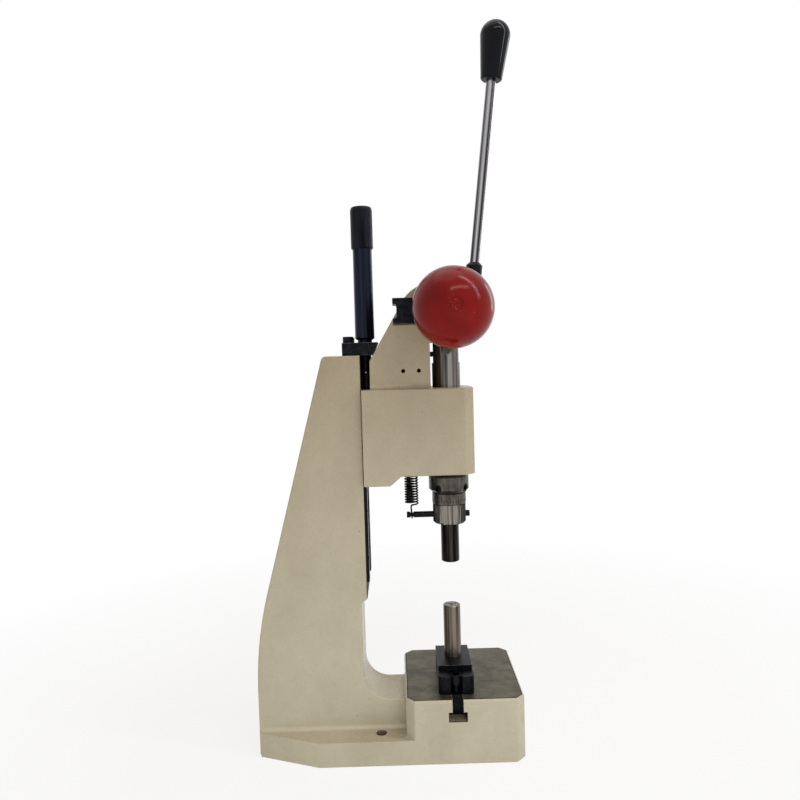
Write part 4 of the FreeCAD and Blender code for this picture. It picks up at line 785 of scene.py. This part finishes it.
flute_count = 60
flute_depth_mm = 0.45
fluted_within = 0.0006
holder_sides = 10 * flute_count
side_face = 0.98
nearly_edge_on = 0.01
dial_gap, holder_neck_r = 0.0001, 0.0115
foot_chamfer, top_chamfer_width, top_chamfer_height = 0.0014, 0.0008, 0.0003

# The fluted round of the holder: dark oiled steel, brighter on the crests.
fluted = metal("fluted steel, oiled", (3, 3, 14), [(0.35, "#26221f"), (0.7, "#544e49")], (3, 3, 14),
               (0.30, 0.38), 0.9)

# Its milled flats: pale steel, brushed up and down by the cutter.
milled = metal("milled steel flat, bright", (1.6, 1.6, 60), [(0.38, "#565149"), (0.62, "#98918a")],
               (1.6, 1.6, 60), (0.36, 0.24), 0.95)

low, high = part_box("punch_holder")
holder_r = (high.x - low.x) / 2
flat_y = high.y


def fluted_radius(radius, height, angle):
    # Two flats cut the round bar, and fine upright flutes grip the fingers between them.
    side = abs(math.sin(angle))
    reach = flat_y / side if side > nearly_edge_on else radius
    flute = flute_depth_mm / 1000 * abs(2 * ((angle * flute_count / (2 * math.pi)) % 1) - 1)
    return min(radius - (flute if radius > holder_r - fluted_within else 0), reach)


top = dial_low.z - dial_gap
outline = [(0, low.z), (holder_r - foot_chamfer, low.z), (holder_r, low.z + foot_chamfer),
           (holder_r, top - top_chamfer_height), (holder_r - top_chamfer_width, top),
           (holder_neck_r, top), (holder_neck_r, high.z), (0, high.z)]
looks = [fluted, milled]
holder = piece_from(revolved(outline, holder_sides, (0, 0), fluted_radius), "fluted_holder", looks,
                    "holder", 25)
for face in holder.data.polygons:
    if abs(face.normal.y) > side_face:
        face.material_index = looks.index(milled)
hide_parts("punch_holder")
wear(["cross_pin"], black_oxide)

# The punch is hardened and left black from the quench, with paler streaks along it that are
# painted light and shade.
quenched = metal("hardened steel, quench black", (2.6, 2.6, 120), [(0.42, "#141112"), (0.60, "#4a423e")],
                 (2.6, 2.6, 120), (0.26, 0.38))
wear(["punch"], quenched)

# ---- Return spring ----
# A close-wound tension spring of black wire lifts the ram. Its lower hook hangs in the
# cross pin's groove and its upper hook on a pin inside the head.

wire_mm = 1.6
coil_mm = 12.4
turns = 24.25
hook_play_mm = 0.35
hook_groove_mm = 0.9
lower_lead_mm = 10.9
upper_lead_mm = 11.0
hook_steps, ease_steps, turn_steps, wire_sides = 12, 12, 32, 12
pin_low, pin_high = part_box("cross_pin")
anchor_low, anchor_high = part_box("spring_anchor")
coil_x = (anchor_low.x + anchor_high.x) / 2
coil_r = coil_mm / 2000
wire_r = wire_mm / 2000
pin_z = (pin_low.z + pin_high.z) / 2
anchor_z = (anchor_low.z + anchor_high.z) / 2
groove_r = (pin_high.z - pin_low.z) / 2 - hook_groove_mm / 1000
foot = pin_z + lower_lead_mm / 1000
head_end = anchor_z - upper_lead_mm / 1000
pitch = (head_end - foot) / turns
low_hook = groove_r + hook_play_mm / 1000 + wire_r
high_hook = (anchor_high.x - anchor_low.x) / 2 + hook_play_mm / 1000 + wire_r

# Hard drawn spring wire, oiled black, with a bright line along each turn.
spring_wire = metal("patented spring wire, oiled", (3, 3, 3), [(0.3, "#100f0f"), (0.75, "#2a2724")],
                    (3, 3, 3), (0.34, 0.42))


def coil_at(turn):
    angle = 2 * math.pi * turn
    return Vector((coil_x + coil_r * math.sin(angle), -coil_r * math.cos(angle), foot + pitch * turn))


def eased(start, start_way, end, end_way, count):
    # Points on a smooth run between two places with the given headings.
    points = []
    for i in range(1, count):
        t = i / count
        a, b = 2 * t ** 3 - 3 * t ** 2 + 1, t ** 3 - 2 * t ** 2 + t
        c, d = -2 * t ** 3 + 3 * t ** 2, t ** 3 - t ** 2
        points.append(start * a + start_way * b + end * c + end_way * d)
    return points


# The wire's line: the lower hook under the cross pin, a lead up to the coil, the coil, and
# a lead to the upper hook over the anchor. The headings say which way, and how firmly, a
# lead leaves a hook or the coil.
up_from_hook, into_coil = Vector((0, 0, 0.006)), Vector((0.005, 0, 0.001))
out_of_coil, up_to_hook = Vector((0, 0.012, 0.001)), Vector((0, 0, 0.010))
bends = [math.pi * i / hook_steps for i in range(hook_steps + 1)]
hook = [Vector((coil_x, low_hook * math.cos(bend), pin_z - low_hook * math.sin(bend)))
        for bend in bends]
line = [hook[0] + Vector((0, 0, wire_r))] + hook
line += eased(hook[-1], up_from_hook, coil_at(0), into_coil, ease_steps)
coil_steps = int(turns * turn_steps)
line += [coil_at(turns * i / coil_steps) for i in range(coil_steps + 1)]
hook = [Vector((coil_x + high_hook * math.cos(bend), 0, anchor_z + high_hook * math.sin(bend)))
        for bend in bends]
line += eased(coil_at(turns), out_of_coil, hook[0], up_to_hook, ease_steps)
line += hook + [hook[-1] - Vector((0, 0, wire_r))]

tube = bmesh.new()
across = Vector((1, 0, 0))
rows = []
for i, point in enumerate(line):
    along = (line[min(i + 1, len(line) - 1)] - line[max(i - 1, 0)]).normalized()
    across = (across - along * across.dot(along)).normalized()
    other = along.cross(across)
    turned = [2 * math.pi * k / wire_sides for k in range(wire_sides)]
    rows.append([tube.verts.new(point + (across * math.cos(angle) + other * math.sin(angle)) * wire_r)
                 for angle in turned])
for one, two in zip(rows, rows[1:]):
    for k in range(wire_sides):
        after = (k + 1) % wire_sides
        tube.faces.new((one[k], one[after], two[after], two[k]))
tube.faces.new(rows[0][::-1])
tube.faces.new(rows[-1])
bmesh.ops.recalc_face_normals(tube, faces=tube.faces)
spring = piece_from(tube, "return_spring_wire", [spring_wire], None, 60)
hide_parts("return_spring")
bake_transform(spring)

# ---- Die block and lower die ----
# A milled and blacked block is clamped in the table's tee slot by one cap screw and a
# nut. The lower die is a plain turned pillar held by a set screw in the block's side.

# Its rounded edges take the grey rubbed finish: wear and a painted highlight.
with_broken_edges("die_block", "die_block_body", 0.4, [black_oxide, rubbed_and_highlit_edge], "die",
                  edge_wear_and_light=1)
wear(["die_screw", "tee_nut", "clamp_screw"], black_oxide)

# Turned die steel, oiled brown grey, with pale streaks along it and fine rings across.
die_steel = metal("die steel, turned and oiled", (2.8, 2.8, 150),
                  [(0.40, "#38312a"), (0.60, "#857b6f")], (12, 12, 0.6), (0.26, 0.38), 0.9)
wear(["lower_die"], die_steel)

# ---- Floor, light and camera ----
# A plain pale floor under soft light: an even sky, a wide lamp overhead, a strip high on
# the right, one above the photographer, a weak lamp behind and a low fill at the front.
# The camera stands where the photograph was taken and looks slightly down.

floor_half = 8.0
floor_fade = (0.30, 0.80)
floor_share = 0.80
sky_level = 0.30
bpy.context.scene.view_settings.view_transform = "Standard"

# Matt pale paper. Seen directly or in a reflection it fades to plain white with the
# distance from the object, and near the object it keeps the soft shadow.
paper, tree, surface, place = finish("pale paper floor")
set_up(surface, {"Base Color": colour("#f4f4f2"), "Roughness": 0.9, "Specular IOR Level": 0.0})
rays = add(tree, "ShaderNodeLightPath").outputs
seen = add(tree, "ShaderNodeMath", {"operation": "MAXIMUM"},
           {0: rays["Is Camera Ray"], 1: rays["Is Glossy Ray"]})
seen = add(tree, "ShaderNodeMath", {"operation": "MAXIMUM"}, {0: seen, 1: rays["Is Transmission Ray"]})
away = add(tree, "ShaderNodeVectorMath", {"operation": "LENGTH"}, {0: place}).outputs["Value"]
fade = add(tree, "ShaderNodeMapRange", {1: floor_fade[0], 2: floor_fade[1], 3: floor_share, 4: 1.0},
           {0: away})
share = add(tree, "ShaderNodeMath", {"operation": "MULTIPLY"}, {0: seen, 1: fade})
white = add(tree, "ShaderNodeEmission", {"Color": colour("#ffffff"), "Strength": 1.0})
mixed = add(tree, "ShaderNodeMixShader", {}, {0: share, 1: surface, 2: white})
output = next(node for node in tree.nodes if node.type == "OUTPUT_MATERIAL")
set_up(output, {}, {"Surface": mixed})

solid = bmesh.new()
bmesh.ops.create_grid(solid, x_segments=1, y_segments=1, size=floor_half)
floor = piece_from(solid, "studio_floor", [paper], None)

world = bpy.data.worlds.new("studio")
world.use_nodes = True
tree = world.node_tree
tree.nodes.clear()
rays = add(tree, "ShaderNodeLightPath").outputs
seen = add(tree, "ShaderNodeMath", {"operation": "MAXIMUM"},
           {0: rays["Is Camera Ray"], 1: rays["Is Glossy Ray"]})
seen = add(tree, "ShaderNodeMath", {"operation": "MAXIMUM"}, {0: seen, 1: rays["Is Transmission Ray"]})
around = add(tree, "ShaderNodeBackground", {"Color": colour("#fff6ec"), "Strength": sky_level})
backdrop = add(tree, "ShaderNodeBackground", {"Color": colour("#ffffff"), "Strength": 1.0})
mixed = add(tree, "ShaderNodeMixShader", {}, {0: seen, 1: around, 2: backdrop})
add(tree, "ShaderNodeOutputWorld", {}, {"Surface": mixed})
bpy.context.scene.world = world


def lamp(name, power, size, place_at, aim, tint, mirrored=True):
    # A soft lamp that faces a point. One that isn't mirrored lights the paint without
    # showing as a bright patch in the steel.
    light = bpy.data.lights.new(name, "AREA")
    light.energy = power
    light.shape = "RECTANGLE"
    light.size, light.size_y = size
    light.color = colour(tint)[:3]
    made = bpy.data.objects.new(name, light)
    made.location = place_at
    made.rotation_euler = (Vector(aim) - Vector(place_at)).to_track_quat("-Z", "Y").to_euler()
    made.visible_glossy = mirrored
    made.visible_camera = False
    bpy.context.scene.collection.objects.link(made)


lamp("strip high on the right", 9, (0.14, 1.7), (0.95, -0.35, 1.45), (0, 0, 0.3), "#f7fbff")
lamp("ceiling", 8, (1.6, 1.6), (-0.3, 0.2, 2.3), (0, 0, 0.2), "#fff3e6")
lamp("strip above the photographer", 6, (1.3, 0.13), (0.34, -1.05, 1.65), (0, 0, 0.3), "#fffaf2")
lamp("window behind on the right", 3, (0.3, 0.9), (1.3, 0.95, 0.8), (0, 0, 0.3), "#ffffff")
lamp("low fill at the front", 3.7, (1.3, 0.3), (0.15, -0.85, 0.10), (0, 0, 0.05), "#ecf8ff", False)

tilt = math.radians(3.2785)
heading = math.radians(0.2336)
roll = 0.0285
lens_mm, picture_mm = 31.5, 36
stands_at = (-0.04898, -0.692, 0.38175)
ahead = Vector((math.sin(heading) * math.cos(tilt), math.cos(heading) * math.cos(tilt), -math.sin(tilt)))
level = Vector((math.cos(heading), -math.sin(heading), 0))
below = ahead.cross(level)
right = level * math.cos(roll) + below * math.sin(roll)
down = below * math.cos(roll) - level * math.sin(roll)
lens = bpy.data.cameras.new("camera")
lens.lens = lens_mm
lens.sensor_width = picture_mm
camera = bpy.data.objects.new("camera", lens)
turned = Matrix((right, -down, -ahead)).transposed().to_4x4()
camera.matrix_world = Matrix.Translation(stands_at) @ turned
bpy.context.scene.collection.objects.link(camera)
bpy.context.scene.camera = camera
